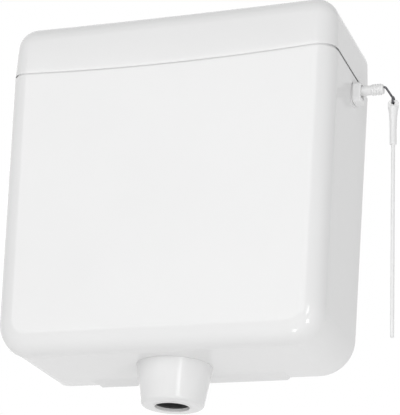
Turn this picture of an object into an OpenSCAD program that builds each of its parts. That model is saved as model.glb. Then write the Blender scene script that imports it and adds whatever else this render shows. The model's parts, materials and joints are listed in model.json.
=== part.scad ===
// High-level toilet cistern that hangs on a wall and is flushed by a side pull.
// The drawing stands on the underside of the tank's floor: X runs to the right, the wall is
// the plane y = 0, the front faces -Y and Z points up. The finished part is then lowered, so
// that its origin lies midway between the two hanging holes, on the wall.

/* [Tank] */
// Width of the tank at its rim
tank_w = 345; // [320:1:390]
// Depth of the tank at its rim, from wall to front
tank_d = 134; // [130:1:160]
// Height of the rim at the tank's sides
rim_h = 295; // [285:1:330]
// How far the rim dips in the middle of its bow
rim_dip = 5.6; // [2:0.2:8]
// How far each side leans in from rim to floor
side_draft = 6; // [2:0.5:9]
// How far the front leans in from rim to floor
front_draft = 10; // [3:0.5:11]
// Thickness of the walls of tank and cover
wall = 3.2; // [2.6:0.2:4]
// Radius of the lower corners, seen from the front
corner_r = 35; // [28:1:42]
// Radius of the front edges
edge_r = 22; // [16:1:25]
// Length of the rib along the rear edge of the floor
rib_l = 196; // [120:2:230]
// Depth of that rib below the floor
rib_h = 2; // [1:0.5:4]

/* [Cover] */
// Height of the cover above the rim at the tank's sides
cover_h = 56; // [46:1:70]
// Radius of the upper corners, seen from the front
cover_r = 23; // [20:1:28]
// Radius of the cover's upper front edge
cover_edge_r = 20; // [14:1:22]
// How far the cover's sides lean in from seam to top
cover_draft = 1; // [0.4:0.2:3]
// How far the cover stands in from the tank's sides
reveal = 0.8; // [0.4:0.1:1.4]
// Height of the shadow groove at the seam
seam_h = 1.6; // [1:0.1:2.6]
// Depth of that groove
seam_d = 1.4; // [0.8:0.1:1.8]
// How deep the locating lips reach into the tank
lip_h = 8; // [5:1:12]
// Thickness of the locating lips
lip_t = 2.2; // [1.6:0.2:3]

/* [Hanging holes] */
// Distance from rim to hanging holes
hang_drop = 33; // [26:1:45]
// Distance between the two holes
hang_gap = 200; // [140:2:240]
// Diameter of the holes
hang_d = 9; // [6:0.5:12]

/* [Flush lever] */
// Distance of outlet and lever from the wall
mech_y = 54; // [50:1:58]
// Distance from rim to the lever's axis
lever_drop = 18; // [16:0.5:24]
// Diameter of the arm
arm_d = 10; // [8:0.5:11]
// Reach of the arm outside the tank's side
arm_reach = 31; // [26:1:40]
// Distance of the pivot inside the tank's side
pivot_in = 12; // [11:0.5:15]
// Angle through which the lever rocks
lever_travel = 9; // [6:0.5:10]
// Number of grip ribs near the arm's end
grip_ribs = 4; // [2:1:5]
// Thickness of the bush beside the arm
bush_wall = 3.1; // [2.4:0.1:4]
// Thickness of the bush above its slot
bush_head = 2; // [1.6:0.1:3]
// Thickness of the bush below its slot
bush_sill = 7; // [4:0.5:9]
// How far the bush stands out from the side
bush_out = 9.5; // [7:0.5:13]
// Diameter of the pivot pins
pin_d = 5; // [4:0.5:6]

/* [Lift arm] */
// Width of the inner arm
lift_w = 6; // [5:0.5:8]
// Height of the inner arm
lift_h = 8; // [7:0.5:9]

/* [Pull] */
// Diameter of the hook's wire
wire_d = 2.2; // [1.8:0.1:2.6]
// How far the eye hangs out past the arm's end
hook_out = 10; // [8:0.5:14]
// How far the eye's middle hangs below the wire's shank
hook_drop = 15.6; // [14:0.2:20]
// Radius of the eye, to the middle of its wire
eye_r = 3.4; // [3.2:0.1:4.4]
// Length of the ferrule below the eye
ferrule_l = 44; // [34:1:60]
// Diameter of the ferrule at its top
ferrule_d = 10.4; // [9:0.2:13]
// Diameter of the ferrule at its lower end
ferrule_end_d = 6.7; // [6.4:0.1:7.4]
// Diameter of the ferrule below its flare
ferrule_neck_d = 7.6; // [7.4:0.1:9]
// Length of the flare
flare_l = 12; // [8:1:20]
// Lean of the pull, out from the tank's side, in degrees
pull_lean = 0.8; // [0:0.1:2]
// Diameter of the pull rod
rod_d = 3.8; // [3.4:0.2:5]
// Length of the rod below the ferrule
rod_l = 197; // [120:1:230]

/* [Outlet] */
// Outside diameter of the flush pipe
pipe_d = 32; // [28:0.5:34]
// Depth of the pipe's socket
socket_l = 22; // [18:1:28]
// Outside diameter of the threaded tail
tail_d = 47.8; // [46:0.2:52]
// Diameter of the outlet nut at the floor
nut_top_d = 75; // [74:0.5:80]
// Lean of the outlet nut's side, in degrees
nut_lean = 10; // [6:0.5:12]
// Radius of its rounded low edge
nut_round = 4; // [3:0.5:8]
// Diameter of the opening in the nut
nut_hole_d = 35.8; // [35:0.2:38]
// Height of the rubber pipe seal
seal_h = 7; // [5:0.5:9]

/* [Flush valve] */
// Height of the valve seat above its flange
seat_up = 13.8; // [10:0.2:18]
// Outside diameter of the overflow tube
tube_d = 26; // [23:0.5:28]
// Distance from rim to the top of the overflow tube
overflow_drop = 57; // [54:1:75]
// Diameter of the bell
bell_d = 60; // [57:0.5:64]
// Height of the bell
bell_h = 35; // [28:1:42]

/* [Inlet valve] */
// Distance of the inlet from the wall
inlet_y = 34; // [30:1:54]
// Distance from rim to the inlet's axis
inlet_drop = 27; // [26:1:34]
// Outside diameter of the inlet's thread
inlet_d = 20.8; // [18:0.2:24]
// Length of the inlet's tail outside the wall
inlet_out = 22; // [20:1:45]
// Length of the valve's barrel
barrel_l = 24; // [22:1:28]
// Outside diameter of the barrel
barrel_d = 26; // [25:0.5:28]
// Diameter of the plunger
plunger_d = 6; // [5:0.2:6.6]
// Height of the silencer tube's end above the floor
silencer_end = 45; // [20:1:120]

/* [Float] */
// Length of the float arm, from pivot to the float's middle
arm_l = 190; // [175:1:200]
// Diameter of the float arm
float_rod_d = 6; // [5:0.5:6.5]
// Clearance of the float to the lift yoke
float_gap = 0.6; // [0.4:0.1:2]
// Clearance of the float to the front wall, at the floor's depth
float_front = 1.8; // [1:0.1:6]
// Length of the float
float_l = 96; // [80:1:100]
// Slope of the arm when the tank is empty
float_low = 45; // [40:1:48]
// Angle through which the float rises
float_swing = 32; // [24:1:34]

/* [Hidden] */

$fn = 64;
// Facets of a rounded shell's corners
shell_fn = 32;
// Facets of the rim's very large circle
rim_fn = 720;
// Sides of a bent rod, and steps in each of its bends
rod_sides = 12;
bend_steps = 5;
// Thickness of the slices that a shell is stretched between
slice = 0.02;
// Overshoot of a cut past the face that it opens
over = 2;
// How far a boss or a rod is sunk into the piece that carries it
sunk = 1.5;
// Sides of a nut
nut_sides = 6;

// Clearances: a pin that turns or slides, a push fit, a thread, two faces that only pass
run_gap = 0.05;
push_gap = 0.03;
thread_gap = 0.15;
pass_gap = 0.4;
seat_gap = 0.3;

// Outer half width and depth of the tank at a height
function half_w(z) = tank_w / 2 - side_draft * (rim_h - z) / (rim_h - corner_r);
function depth_at(z) = tank_d - front_draft * (rim_h - z) / (rim_h - corner_r);
floor_half = half_w(corner_r);
floor_d = depth_at(corner_r);
rim_r = pow(tank_w / 2, 2) / (2 * rim_dip) + rim_dip / 2;
rib_t = 5;

// Cover
cover_z = rim_h + cover_h;
cover_low = rim_h - rim_dip - over;
ledge_h = 6;
lip_gap = pass_gap + reveal;
ledge_in = wall + lip_gap + lip_t;
lip_short = 10;
lip_span = tank_w - 2 * (edge_r + lip_short);

hang_z = rim_h - hang_drop;

// Lever and its bush, from the arm's rocking
lever_z = rim_h - lever_drop;
pin_r = pin_d / 2;
slot_gap = 0.6;
slot_w = arm_d + 2 * pass_gap;
slot_top = lever_z + arm_d / 2 + slot_gap;
arm_dip = (pivot_in + bush_out) * tan(lever_travel) + arm_d / 2 / cos(lever_travel);
slot_low = lever_z - arm_dip - slot_gap;
bush_w = slot_w + 2 * bush_wall;
bush_h = bush_head + slot_top - slot_low + bush_sill;
bush_mid = slot_top + bush_head - bush_h / 2;
bush_r = 4;
neck_in = 1;
lock_rim = 4;
lock_t = 2.6;
pad_proud = 0.3;
pad_rim = 1;
pad_deep = 1.6;
bush_seat = half_w(bush_mid - bush_h / 2 - neck_in);
bush_pad_h = bush_h + 2 * (lock_rim + pad_rim);
bush_pad = half_w(bush_mid - bush_pad_h / 2) - wall - pad_proud;
pivot_x = bush_seat - pivot_in;
channel_past = 5;
channel_end = pivot_x - pin_r - channel_past;
pin_head_d = pin_d + 2;
pin_head_t = 1.4;
arm_end = bush_seat + arm_reach;
hub_d = arm_d + 1;
stub_l = 22;
grip_rib_t = 1.5;
grip_pitch = 2.6;
grip_proud = 0.8;
grip_from_end = 1.2;

// Lift arm, held in the lever by a tenon and a screw
tenon_l = 11;
tenon_w = 4.4;
tenon_h = 6;
tip_past = 12;
screw_d = 2.8;
screw_head_d = 5.4;
screw_head_t = 1.8;
screw_in = 5.5;
lift = pivot_x * lever_travel * PI / 180;

// Hook and pull
wire_r = wire_d / 2;
hook_hold = 9;
hook_rise = 2.2;
hook_bend_r = 3;
hook_bend_out = 1.6;
eye_swell = 0.1;
shank_z = lever_z + hook_rise;
eye_x = arm_end + hook_out;
eye_z = shank_z - hook_drop;
pull_z = eye_z - eye_r;
eye_gap = 0.8;
tab_t = 2 * (eye_r - wire_r) - 2 * eye_gap;
tab_up = 3.2;
tab_down = 4;
ferrule_low = pull_z - ferrule_l;
rod_in = 16;

// Outlet, from floor to nut
gasket_t = 3;
flange_t = 4;
flange_r = 36;
gasket_in = 1;
flange_z = wall + gasket_t;
seat_z = flange_z + flange_t + seat_up;
tail_r = tail_d / 2;
tail_wall = 2.4;
throat_r = tail_r - tail_wall;
seat_rim = 5.5;
pipe_gap = 0.3;
socket_r = pipe_d / 2 + pipe_gap;
seal_gap = 0.8;
stop_in = 1.5;
stop_t = 2;
fin_hold = 4;
fin_low = seat_z - lift - fin_hold;
stop_gap = 1;
stop_top = fin_low - stop_gap;
tail_end = stop_top - stop_t - socket_l;
nut_floor = 3;
nut_low = tail_end - seal_h - nut_floor;
nut_lip = 1.2;
backnut_h = 8;
backnut_wall = 6;
backnut_r = tail_r + backnut_wall;
cavity_gap = 1.5;
cavity_over = 2;

// Flush valve
tube_r = tube_d / 2;
tube_wall = 2;
foot_wall = 2.4;
fin_gap = 0.5;
fin_t = 2;
fins = 4;
washer_z = seat_z + seat_gap;
washer_t = 3;
bell_z = washer_z + washer_t;
bell_wall = 2;
bell_collar = 3;
overflow_z = rim_h - overflow_drop;
tube_in = 10;
tube_low = seat_z - tube_in;
yoke_t = 3;
yoke_out = tube_r + pass_gap + yoke_t;
yoke_h = 10;
yoke_below = 4;
post_w = 9;
bar_r = 3;
lost_motion = 1;
bar_z = lever_z + lift_h / 2 + lost_motion + bar_r;

// Inlet valve, measured inwards from the outside of the left wall
inlet_z = rim_h - inlet_drop;
inlet_r = inlet_d / 2;
inlet_nut_wall = 6.5;
inlet_nut_r = inlet_r + inlet_nut_wall;
inlet_nut_h = 9;
inlet_flange_rim = 5.5;
inlet_flange_r = inlet_r + inlet_flange_rim;
inlet_flange_t = 4;
inlet_hole_gap = 0.5;
inlet_seat = half_w(inlet_z - inlet_nut_r - pad_rim);
inlet_pad = half_w(inlet_z - inlet_flange_r - pad_rim) - wall - pad_proud;
inlet_wall = inlet_seat - inlet_pad;
inlet_washer_t = 3;
inlet_flange = inlet_wall + inlet_washer_t;
barrel_r = barrel_d / 2;
barrel_start = inlet_flange + inlet_flange_t;
barrel_end = barrel_start + barrel_l;
inlet_bore_r = 4;
relief_l = 2;
relief_d = 0.8;
nozzle_r = 5;
nozzle_bore_r = 2.5;
nozzle_back = 1;
chamber_l = 18;
chamber_wall = 2.5;
spigot_r = 4.6;
spigot_bore_r = 3.4;
spigot_l = 9;
diaphragm_t = 1.5;
disc_t = 4;
disc_face = barrel_end + diaphragm_t + disc_t;
ring_wall = 4;
ring_over = 8;
ring_lip_t = 2.5;
ring_notches = 12;
notch_r = 1.5;
notch_out = 0.6;
plunger_r = plunger_d / 2;
sleeve_wall = 2;
sleeve_l = 6.5;
silencer_wall = 1.5;
silencer_gap = 1;
spigot_back = ring_over + spigot_r + silencer_wall + silencer_gap;

// Float arm
arm_pin_r = 2;
arm_hub_r = 4.5;
arm_hub_w = 8;
finger_l = 8;
finger_r = 3;
finger_step = 0.5;
finger_w = arm_hub_w - 2 * finger_step;
lug_t = 3;
lug_up = 5;
lug_down = 6.5;
pivot_out = 14;
arm_pivot = disc_face + pivot_out;
finger_swing = 2 * finger_l * sin(float_swing / 2);
plunger_end = arm_pivot + finger_l * sin(float_swing / 2) - finger_r - seat_gap;
plunger_start = barrel_end + diaphragm_t + finger_swing + seat_gap;
float_rod_r = float_rod_d / 2;
rod_start = arm_hub_r - sunk;
bend_start = 26;
bend_r = 14;
float_r = (floor_d - wall - mech_y - yoke_out - float_gap - float_front) / 2;
float_forward = mech_y - inlet_y + yoke_out + float_gap + float_r;
bend_end = bend_start + float_forward;
float_wall = 2;
float_lap = 5;
float_boss_r = 6;
float_boss_out = 4;
float_boss_in = 10;
float_nut_r = 7;
float_nut_t = 5;
rod_end = arm_l - float_l / 2 + float_boss_in;

// Moves the drawing so that its origin lies between the hanging holes
module hung() {
    translate([0, 0, -hang_z]) children();
}

// Cylinder that runs along X from one place to another
module bar_x(from, to, r) {
    translate([from, 0, 0]) rotate([0, 90, 0]) cylinder(r = r, h = to - from);
}

// Cylinder centred on the origin that runs along Y
module bar_y(length, r) {
    rotate([90, 0, 0]) cylinder(r = r, h = length, center = true);
}

// Rod of round section along corner points that lie in one plane, with each corner bent to a radius
function unit(v) = v / norm(v);
function bend(a, b, c, bend_r) =
    let (u = unit(b - a), w = unit(c - b), turn = acos(u * w), side = unit(w - u * (u * w)))
    [for (i = [0 : bend_steps]) let (t = turn * i / bend_steps)
        b + u * bend_r * (sin(t) - tan(turn / 2)) + side * bend_r * (1 - cos(t))];

module bent_rod(points, bend_r, r) {
    last = len(points) - 1;
    path = concat([points[0]],
                  [for (i = [1 : last - 1]) each bend(points[i - 1], points[i], points[i + 1], bend_r)],
                  [points[last]]);
    n = len(path);
    flat = unit(cross(points[1] - points[0], points[2] - points[1]));
    rings = [for (i = [0 : n - 1])
        let (back = unit(path[i] - path[max(i - 1, 0)] + (i == 0 ? path[1] - path[0] : [0, 0, 0])),
             ahead = unit(path[min(i + 1, n - 1)] - path[i]
                          + (i == n - 1 ? path[i] - path[i - 1] : [0, 0, 0])),
             out = unit(cross(flat, back + ahead)))
        for (k = [0 : rod_sides - 1]) let (t = 360 * k / rod_sides)
            path[i] + r * (flat * cos(t) + out * sin(t))];
    walls = [for (i = [0 : n - 2], k = [0 : rod_sides - 1])
        let (p = i * rod_sides + k, q = i * rod_sides + (k + 1) % rod_sides)
        each [[p, q, p + rod_sides], [q, q + rod_sides, p + rod_sides]]];
    ends = [[for (k = [rod_sides - 1 : -1 : 0]) k],
            [for (k = [0 : rod_sides - 1]) (n - 1) * rod_sides + k]];
    polyhedron(rings, concat(walls, ends));
}

// Bar along X with a rounded rectangular section, centred on the origin in Y and Z
module rounded_bar(from, to, w, h, r) {
    translate([from, -w / 2 + r, -h / 2]) cube([to - from, w - 2 * r, h]);
    translate([from, -w / 2, -h / 2 + r]) cube([to - from, w, h - 2 * r]);
    for (y = [-1, 1], z = [-1, 1])
        translate([0, y * (w / 2 - r), z * (h / 2 - r)]) bar_x(from, to, r);
}

// Ring about Z between two heights
module ring(inner, outer, low, high) {
    translate([0, 0, low]) difference() {
        cylinder(r = outer, h = high - low);
        translate([0, 0, -over]) cylinder(r = inner, h = high - low + 2 * over);
    }
}

// Corner of a shell: a ring of round section, filled to its middle
module corner_ring(major, minor) {
    rotate_extrude($fn = shell_fn) intersection() {
        translate([major, 0]) circle(r = minor, $fn = shell_fn);
        translate([0, -minor]) square([major + minor, 2 * minor]);
    }
}

// Solid form of the tank, drawn in by an inset and stretched up to a height
module tank_form(inset, top) {
    hull() {
        for (side = [-1, 1]) {
            translate([side * (floor_half - corner_r), edge_r - floor_d, corner_r])
                rotate([90, 0, 0]) corner_ring(corner_r - edge_r, edge_r - inset);
            translate([side * (floor_half - corner_r), -inset, corner_r])
                rotate([90, 0, 0]) cylinder(r = corner_r - inset, h = slice, $fn = shell_fn);
            translate([side * (half_w(top) - edge_r), edge_r - depth_at(top), top - slice])
                cylinder(r = edge_r - inset, h = slice, $fn = shell_fn);
        }
        translate([inset - half_w(top), -inset - slice, top - slice])
            cube([2 * (half_w(top) - inset), slice, slice]);
    }
}

// Solid form of the cover, drawn in by an inset
module cover_form(inset) {
    low_half = tank_w / 2 - reveal;
    top_half = low_half - cover_draft;
    low_d = tank_d - reveal;
    top_d = low_d - cover_draft;
    hull() {
        for (side = [-1, 1]) {
            translate([side * (top_half - cover_r), cover_edge_r - top_d, cover_z - cover_r])
                rotate([90, 0, 0]) corner_ring(cover_r - cover_edge_r, cover_edge_r - inset);
            translate([side * (top_half - cover_r), -reveal - inset, cover_z - cover_r])
                rotate([90, 0, 0]) cylinder(r = cover_r - inset, h = slice, $fn = shell_fn);
            translate([side * (low_half - edge_r), edge_r - low_d, cover_low])
                cylinder(r = edge_r - inset, h = slice, $fn = shell_fn);
        }
        translate([inset - low_half, -reveal - inset - slice, cover_low])
            cube([2 * (low_half - inset), slice, slice]);
    }
}

// Everything above the bowed rim, or above a line some way over it
module above_rim(raise) {
    translate([0, over, rim_h - rim_dip + rim_r]) rotate([90, 0, 0])
        cylinder(r = rim_r - raise, h = tank_d + 2 * over, $fn = rim_fn);
}

// Places on the mechanism's plane
module at_outlet() {
    translate([0, -mech_y, 0]) children();
}

module at_lever() {
    translate([0, -mech_y, lever_z]) children();
}

module at_bush() {
    translate([0, -mech_y, bush_mid]) children();
}

module at_pull() {
    translate([eye_x, -mech_y, pull_z]) rotate([0, -pull_lean, 0]) translate([0, 0, -pull_z]) children();
}

module at_inlet() {
    translate([-inlet_seat, -inlet_y, inlet_z]) children();
}

module at_float_pivot() {
    at_inlet() translate([arm_pivot, 0, -finger_l]) children();
}

// Along the float arm, as it hangs when the tank is empty
module along_float_arm() {
    at_float_pivot() rotate([0, float_low, 0]) children();
}

module at_float() {
    along_float_arm() translate([arm_l, -float_forward, 0]) rotate([0, 90, 0]) children();
}

module tank() {
    color("whitesmoke") difference() {
        union() {
            difference() {
                tank_form(0, rim_h + over);
                tank_form(wall, rim_h + 2 * over);
                above_rim(0);
            }
            rotate([90, 0, 0]) linear_extrude(rib_t)
                polygon([[-rib_l / 2 - rib_h, wall / 2], [-rib_l / 2, -rib_h],
                         [rib_l / 2, -rib_h], [rib_l / 2 + rib_h, wall / 2]]);
            at_bush() rounded_bar(bush_pad, bush_pad + pad_deep, bush_w + 2 * (lock_rim + pad_rim),
                                  bush_pad_h, bush_r);
            at_inlet() bar_x(inlet_wall - pad_deep, inlet_wall, inlet_flange_r + pad_rim);
        }
        at_bush() rounded_bar(bush_seat, bush_seat + bush_out, bush_w + pass_gap, bush_h + pass_gap,
                              bush_r);
        at_bush() rounded_bar(bush_pad - over, bush_seat + over, bush_w - 2 * neck_in + pass_gap,
                              bush_h - 2 * neck_in + pass_gap, bush_r - neck_in);
        at_inlet() bar_x(-over, 0, inlet_nut_r + pad_rim);
        at_inlet() bar_x(-over, inlet_wall + over, inlet_r + inlet_hole_gap);
        at_outlet() translate([0, 0, -over]) cylinder(r = tail_r + pass_gap, h = wall + 2 * over);
        for (side = [-1, 1])
            translate([side * hang_gap / 2, -wall / 2, hang_z]) bar_y(wall + 2 * over, hang_d / 2);
    }
}

module cover() {
    color("white") union() {
        intersection() {
            difference() {
                cover_form(0);
                cover_form(wall);
            }
            above_rim(seam_h);
        }
        intersection() {
            difference() {
                cover_form(seam_d);
                cover_form(ledge_in);
            }
            above_rim(seat_gap);
            translate([-tank_w / 2, -tank_d, cover_low])
                cube([tank_w, tank_d, rim_h + ledge_h - cover_low]);
        }
        for (y = [wall + lip_gap - tank_d, -ledge_in])
            translate([-lip_span / 2, y, rim_h - rim_dip - lip_h])
                cube([lip_span, lip_t, lip_h + rim_dip + ledge_h / 2]);
    }
}

module lever_bush() {
    color("gainsboro") difference() {
        at_bush() union() {
            rounded_bar(bush_seat, bush_seat + bush_out, bush_w, bush_h, bush_r);
            rounded_bar(channel_end, bush_seat + over, bush_w - 2 * neck_in, bush_h - 2 * neck_in,
                        bush_r - neck_in);
        }
        translate([channel_end - over, -mech_y - slot_w / 2, slot_low])
            cube([bush_seat + bush_out - channel_end + 2 * over, slot_w, slot_top - slot_low]);
        translate([channel_end - over, -mech_y - slot_w / 2, slot_low])
            cube([bush_pad - lock_t - channel_end, slot_w, bush_h]);
        at_lever() translate([pivot_x, 0, 0]) bar_y(bush_w + over, pin_r + push_gap);
    }
}

module bush_lock() {
    color("lightgray") at_bush() difference() {
        rounded_bar(bush_pad - lock_t, bush_pad, bush_w + 2 * lock_rim, bush_h + 2 * lock_rim, bush_r);
        rounded_bar(bush_pad - lock_t - over, bush_pad + over, bush_w - 2 * (neck_in - push_gap),
                    bush_h - 2 * (neck_in - push_gap), bush_r - neck_in);
    }
}

module lever_pin() {
    pin_l = bush_w - 2 * neck_in + over;
    color("silver") at_lever() translate([pivot_x, 0, 0]) union() {
        bar_y(pin_l, pin_r);
        translate([0, -bush_w / 2 + neck_in - pin_head_t / 2, 0]) bar_y(pin_head_t, pin_head_d / 2);
    }
}

module flush_lever() {
    color("whitesmoke") at_lever() difference() {
        union() {
            bar_x(pivot_x, arm_end, arm_d / 2);
            translate([pivot_x, 0, 0]) bar_y(arm_d, hub_d / 2);
            translate([pivot_x - stub_l, -arm_d / 2, -arm_d / 2]) cube([stub_l, arm_d, arm_d]);
            for (i = [1 : grip_ribs])
                translate([arm_end - grip_from_end - i * grip_pitch, 0, 0])
                    bar_x(0, grip_rib_t, arm_d / 2 + grip_proud);
        }
        translate([pivot_x, 0, 0]) bar_y(arm_d + 2 * over, pin_r + run_gap);
        translate([pivot_x - stub_l - over, -tenon_w / 2 - push_gap, -tenon_h / 2 - push_gap])
            cube([tenon_l + over + push_gap, tenon_w + 2 * push_gap, tenon_h + 2 * push_gap]);
        translate([pivot_x - stub_l + screw_in, 0, 0]) cylinder(r = screw_d / 2 + push_gap, h = arm_d);
        translate([0, 0, hook_rise]) bar_x(arm_end - hook_hold, arm_end + over, wire_r + run_gap);
    }
}

module lift_arm() {
    color("lightgray") at_lever() difference() {
        union() {
            translate([-tip_past, -lift_w / 2, -lift_h / 2])
                cube([pivot_x - stub_l + tip_past, lift_w, lift_h]);
            translate([pivot_x - stub_l - over, -tenon_w / 2, -tenon_h / 2])
                cube([tenon_l + over, tenon_w, tenon_h]);
        }
        translate([pivot_x - stub_l + screw_in, 0, -tenon_h])
            cylinder(r = screw_d / 2 + push_gap, h = 2 * tenon_h);
    }
}

module arm_screw() {
    color("silver") at_lever() translate([pivot_x - stub_l + screw_in, 0, 0]) union() {
        translate([0, 0, -tenon_h / 2])
            cylinder(r = screw_d / 2, h = (tenon_h + arm_d + screw_head_t) / 2);
        translate([0, 0, arm_d / 2]) cylinder(r = screw_head_d / 2, h = screw_head_t);
    }
}

module pull_hook() {
    shank_start = [arm_end - hook_hold + seat_gap, 0, shank_z];
    shank_end = [arm_end + hook_bend_out, 0, shank_z];
    color("dimgray") translate([0, -mech_y, 0]) union() {
        bent_rod([shank_start, shank_end, [eye_x, 0, eye_z + eye_r]], hook_bend_r, wire_r);
        translate([eye_x, 0, eye_z]) rotate([0, 90, 0])
            rotate_extrude() translate([eye_r, 0]) circle(r = wire_r + eye_swell);
    }
}

module pull_ferrule() {
    shoulder = pull_z - tab_down;
    color("white") at_pull() difference() {
        union() {
            translate([-ferrule_d / 2, -tab_t / 2, shoulder - over])
                cube([ferrule_d, tab_t, tab_up + tab_down + over]);
            rotate_extrude()
                polygon([[0, ferrule_low], [ferrule_end_d / 2, ferrule_low],
                         [ferrule_neck_d / 2, shoulder - flare_l], [ferrule_d / 2, shoulder], [0, shoulder]]);
        }
        translate([0, 0, pull_z]) bar_y(ferrule_d, wire_r + eye_gap);
        translate([0, 0, ferrule_low - over]) cylinder(r = rod_d / 2 + push_gap, h = rod_in + over);
    }
}

module pull_rod() {
    rod_low = ferrule_low - rod_l + rod_d / 2;
    color("white") at_pull() union() {
        translate([0, 0, rod_low]) cylinder(r = rod_d / 2, h = ferrule_low + rod_in - rod_low);
        translate([0, 0, rod_low]) sphere(r = rod_d / 2);
    }
}

module outlet_body() {
    color("whitesmoke") at_outlet() rotate_extrude()
        polygon([[throat_r, seat_z], [throat_r + seat_rim, seat_z],
                 [throat_r + seat_rim, flange_z + flange_t], [flange_r, flange_z + flange_t],
                 [flange_r, flange_z], [tail_r, flange_z],
                 [tail_r, tail_end], [socket_r, tail_end], [socket_r, tail_end + socket_l],
                 [socket_r - stop_in, tail_end + socket_l], [socket_r - stop_in, stop_top],
                 [throat_r, stop_top]]);
}

module outlet_gasket() {
    color("dimgray") at_outlet() ring(tail_r + seat_gap, flange_r - gasket_in, wall, flange_z);
}

module outlet_backnut() {
    color("lightgray") at_outlet() difference() {
        translate([0, 0, -backnut_h]) cylinder(r = backnut_r, h = backnut_h, $fn = nut_sides);
        translate([0, 0, -backnut_h - over])
            cylinder(r = tail_r + thread_gap, h = backnut_h + 2 * over);
    }
}

module outlet_nut() {
    top_r = nut_top_d / 2;
    side_h = -nut_low - nut_round * (1 - sin(nut_lean));
    low_r = top_r - side_h * tan(nut_lean);
    hole_r = nut_hole_d / 2;
    bore_r = tail_r + thread_gap;
    cavity_r = backnut_r + cavity_gap;
    cavity_h = backnut_h + cavity_over;
    round_steps = 6;
    edge = [for (i = [0 : round_steps]) let (a = nut_lean + (90 - nut_lean) * i / round_steps)
        [low_r - nut_round * (cos(nut_lean) - cos(a)), nut_low + nut_round * (1 - sin(a))]];
    lip = [for (i = [0 : round_steps]) let (a = 180 * i / round_steps)
        [hole_r + nut_lip * (1 + cos(a)), nut_low - nut_lip * sin(a)]];
    color("whitesmoke") at_outlet() rotate_extrude()
        polygon(concat([[cavity_r, 0], [top_r, 0]], edge, lip,
                       [[hole_r, nut_low + nut_floor], [bore_r, nut_low + nut_floor],
                        [bore_r, -cavity_h], [cavity_r, -cavity_h]]));
}

module pipe_seal() {
    color("black") at_outlet()
        ring(pipe_d / 2 + seal_gap, tail_r - seat_gap, tail_end - seal_h, tail_end);
}

module overflow_tube() {
    color("whitesmoke") at_outlet() ring(tube_r - tube_wall, tube_r, tube_low, overflow_z);
}

module bell_float() {
    bell_r = bell_d / 2;
    collar_r = tube_r + push_gap;
    top = bell_z + bell_h;
    shoulder = top - (bell_r - collar_r) / 2;
    color("lightgray") at_outlet() rotate_extrude()
        polygon([[bell_r, bell_z], [bell_r, shoulder], [collar_r + bell_wall, top], [collar_r, top],
                 [collar_r, top - bell_collar], [bell_r - bell_wall, shoulder - bell_wall / 2],
                 [bell_r - bell_wall, bell_z]]);
}

module seat_washer() {
    color("dimgray") at_outlet() ring(tube_r + push_gap, bell_d / 2, washer_z, bell_z);
}

module valve_foot() {
    foot_r = tube_r + foot_wall;
    color("lightgray") at_outlet() difference() {
        union() {
            translate([0, 0, fin_low]) cylinder(r = foot_r, h = washer_z - fin_low);
            translate([0, 0, seat_z - foot_wall])
                cylinder(r = throat_r - foot_wall, h = foot_wall + seat_gap);
            for (i = [0 : fins - 1]) rotate([0, 0, 360 * i / fins])
                translate([0, -fin_t / 2, fin_low])
                    cube([throat_r - fin_gap, fin_t, seat_z - foot_wall - fin_low]);
        }
        translate([0, 0, fin_low - over])
            cylinder(r = tube_r + push_gap, h = washer_z - fin_low + 2 * over);
    }
}

module lift_yoke() {
    ring_top = overflow_z - yoke_below;
    ring_low = ring_top - yoke_h;
    color("lightgray") at_outlet() union() {
        ring(tube_r + push_gap, tube_r + yoke_t, ring_low, ring_top);
        for (side = [0, 180]) rotate([0, 0, side])
            translate([-post_w / 2, yoke_out - yoke_t, ring_low]) cube([post_w, yoke_t, bar_z - ring_low]);
        translate([0, 0, bar_z]) bar_y(2 * yoke_out, bar_r);
    }
}

module inlet_body() {
    chamber = barrel_end - chamber_l;
    spigot = barrel_end - spigot_back;
    color("whitesmoke") at_inlet() difference() {
        union() {
            bar_x(-inlet_out, inlet_flange + over, inlet_r);
            bar_x(inlet_flange, barrel_start, inlet_flange_r);
            difference() {
                bar_x(barrel_start - over, barrel_end, barrel_r);
                bar_x(chamber, barrel_end + over, barrel_r - chamber_wall);
            }
            bar_x(chamber - over, barrel_end - nozzle_back, nozzle_r);
            translate([spigot, 0, -barrel_r - spigot_l])
                cylinder(r = spigot_r, h = spigot_l + chamber_wall);
        }
        difference() {
            bar_x(-inlet_nut_h - relief_l, -inlet_nut_h, inlet_r + over);
            bar_x(-inlet_nut_h - relief_l - over, -inlet_nut_h + over, inlet_r - relief_d);
        }
        bar_x(-inlet_out - over, chamber, inlet_bore_r);
        bar_x(chamber - over, barrel_end, nozzle_bore_r);
        translate([spigot, 0, -barrel_r - spigot_l - over])
            cylinder(r = spigot_bore_r, h = spigot_l + chamber_wall + 2 * over);
    }
}

module inlet_washer() {
    color("dimgray") at_inlet() difference() {
        bar_x(inlet_wall, inlet_flange, inlet_flange_r);
        bar_x(inlet_wall - over, inlet_flange + over, inlet_r + run_gap);
    }
}

module inlet_backnut() {
    color("lightgray") at_inlet() difference() {
        translate([-inlet_nut_h, 0, 0]) rotate([0, 90, 0])
            cylinder(r = inlet_nut_r, h = inlet_nut_h, $fn = nut_sides);
        bar_x(-inlet_nut_h - over, over, inlet_r + thread_gap);
    }
}

module inlet_diaphragm() {
    color("dimgray") at_inlet() bar_x(barrel_end, barrel_end + diaphragm_t, barrel_r - run_gap);
}

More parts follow.
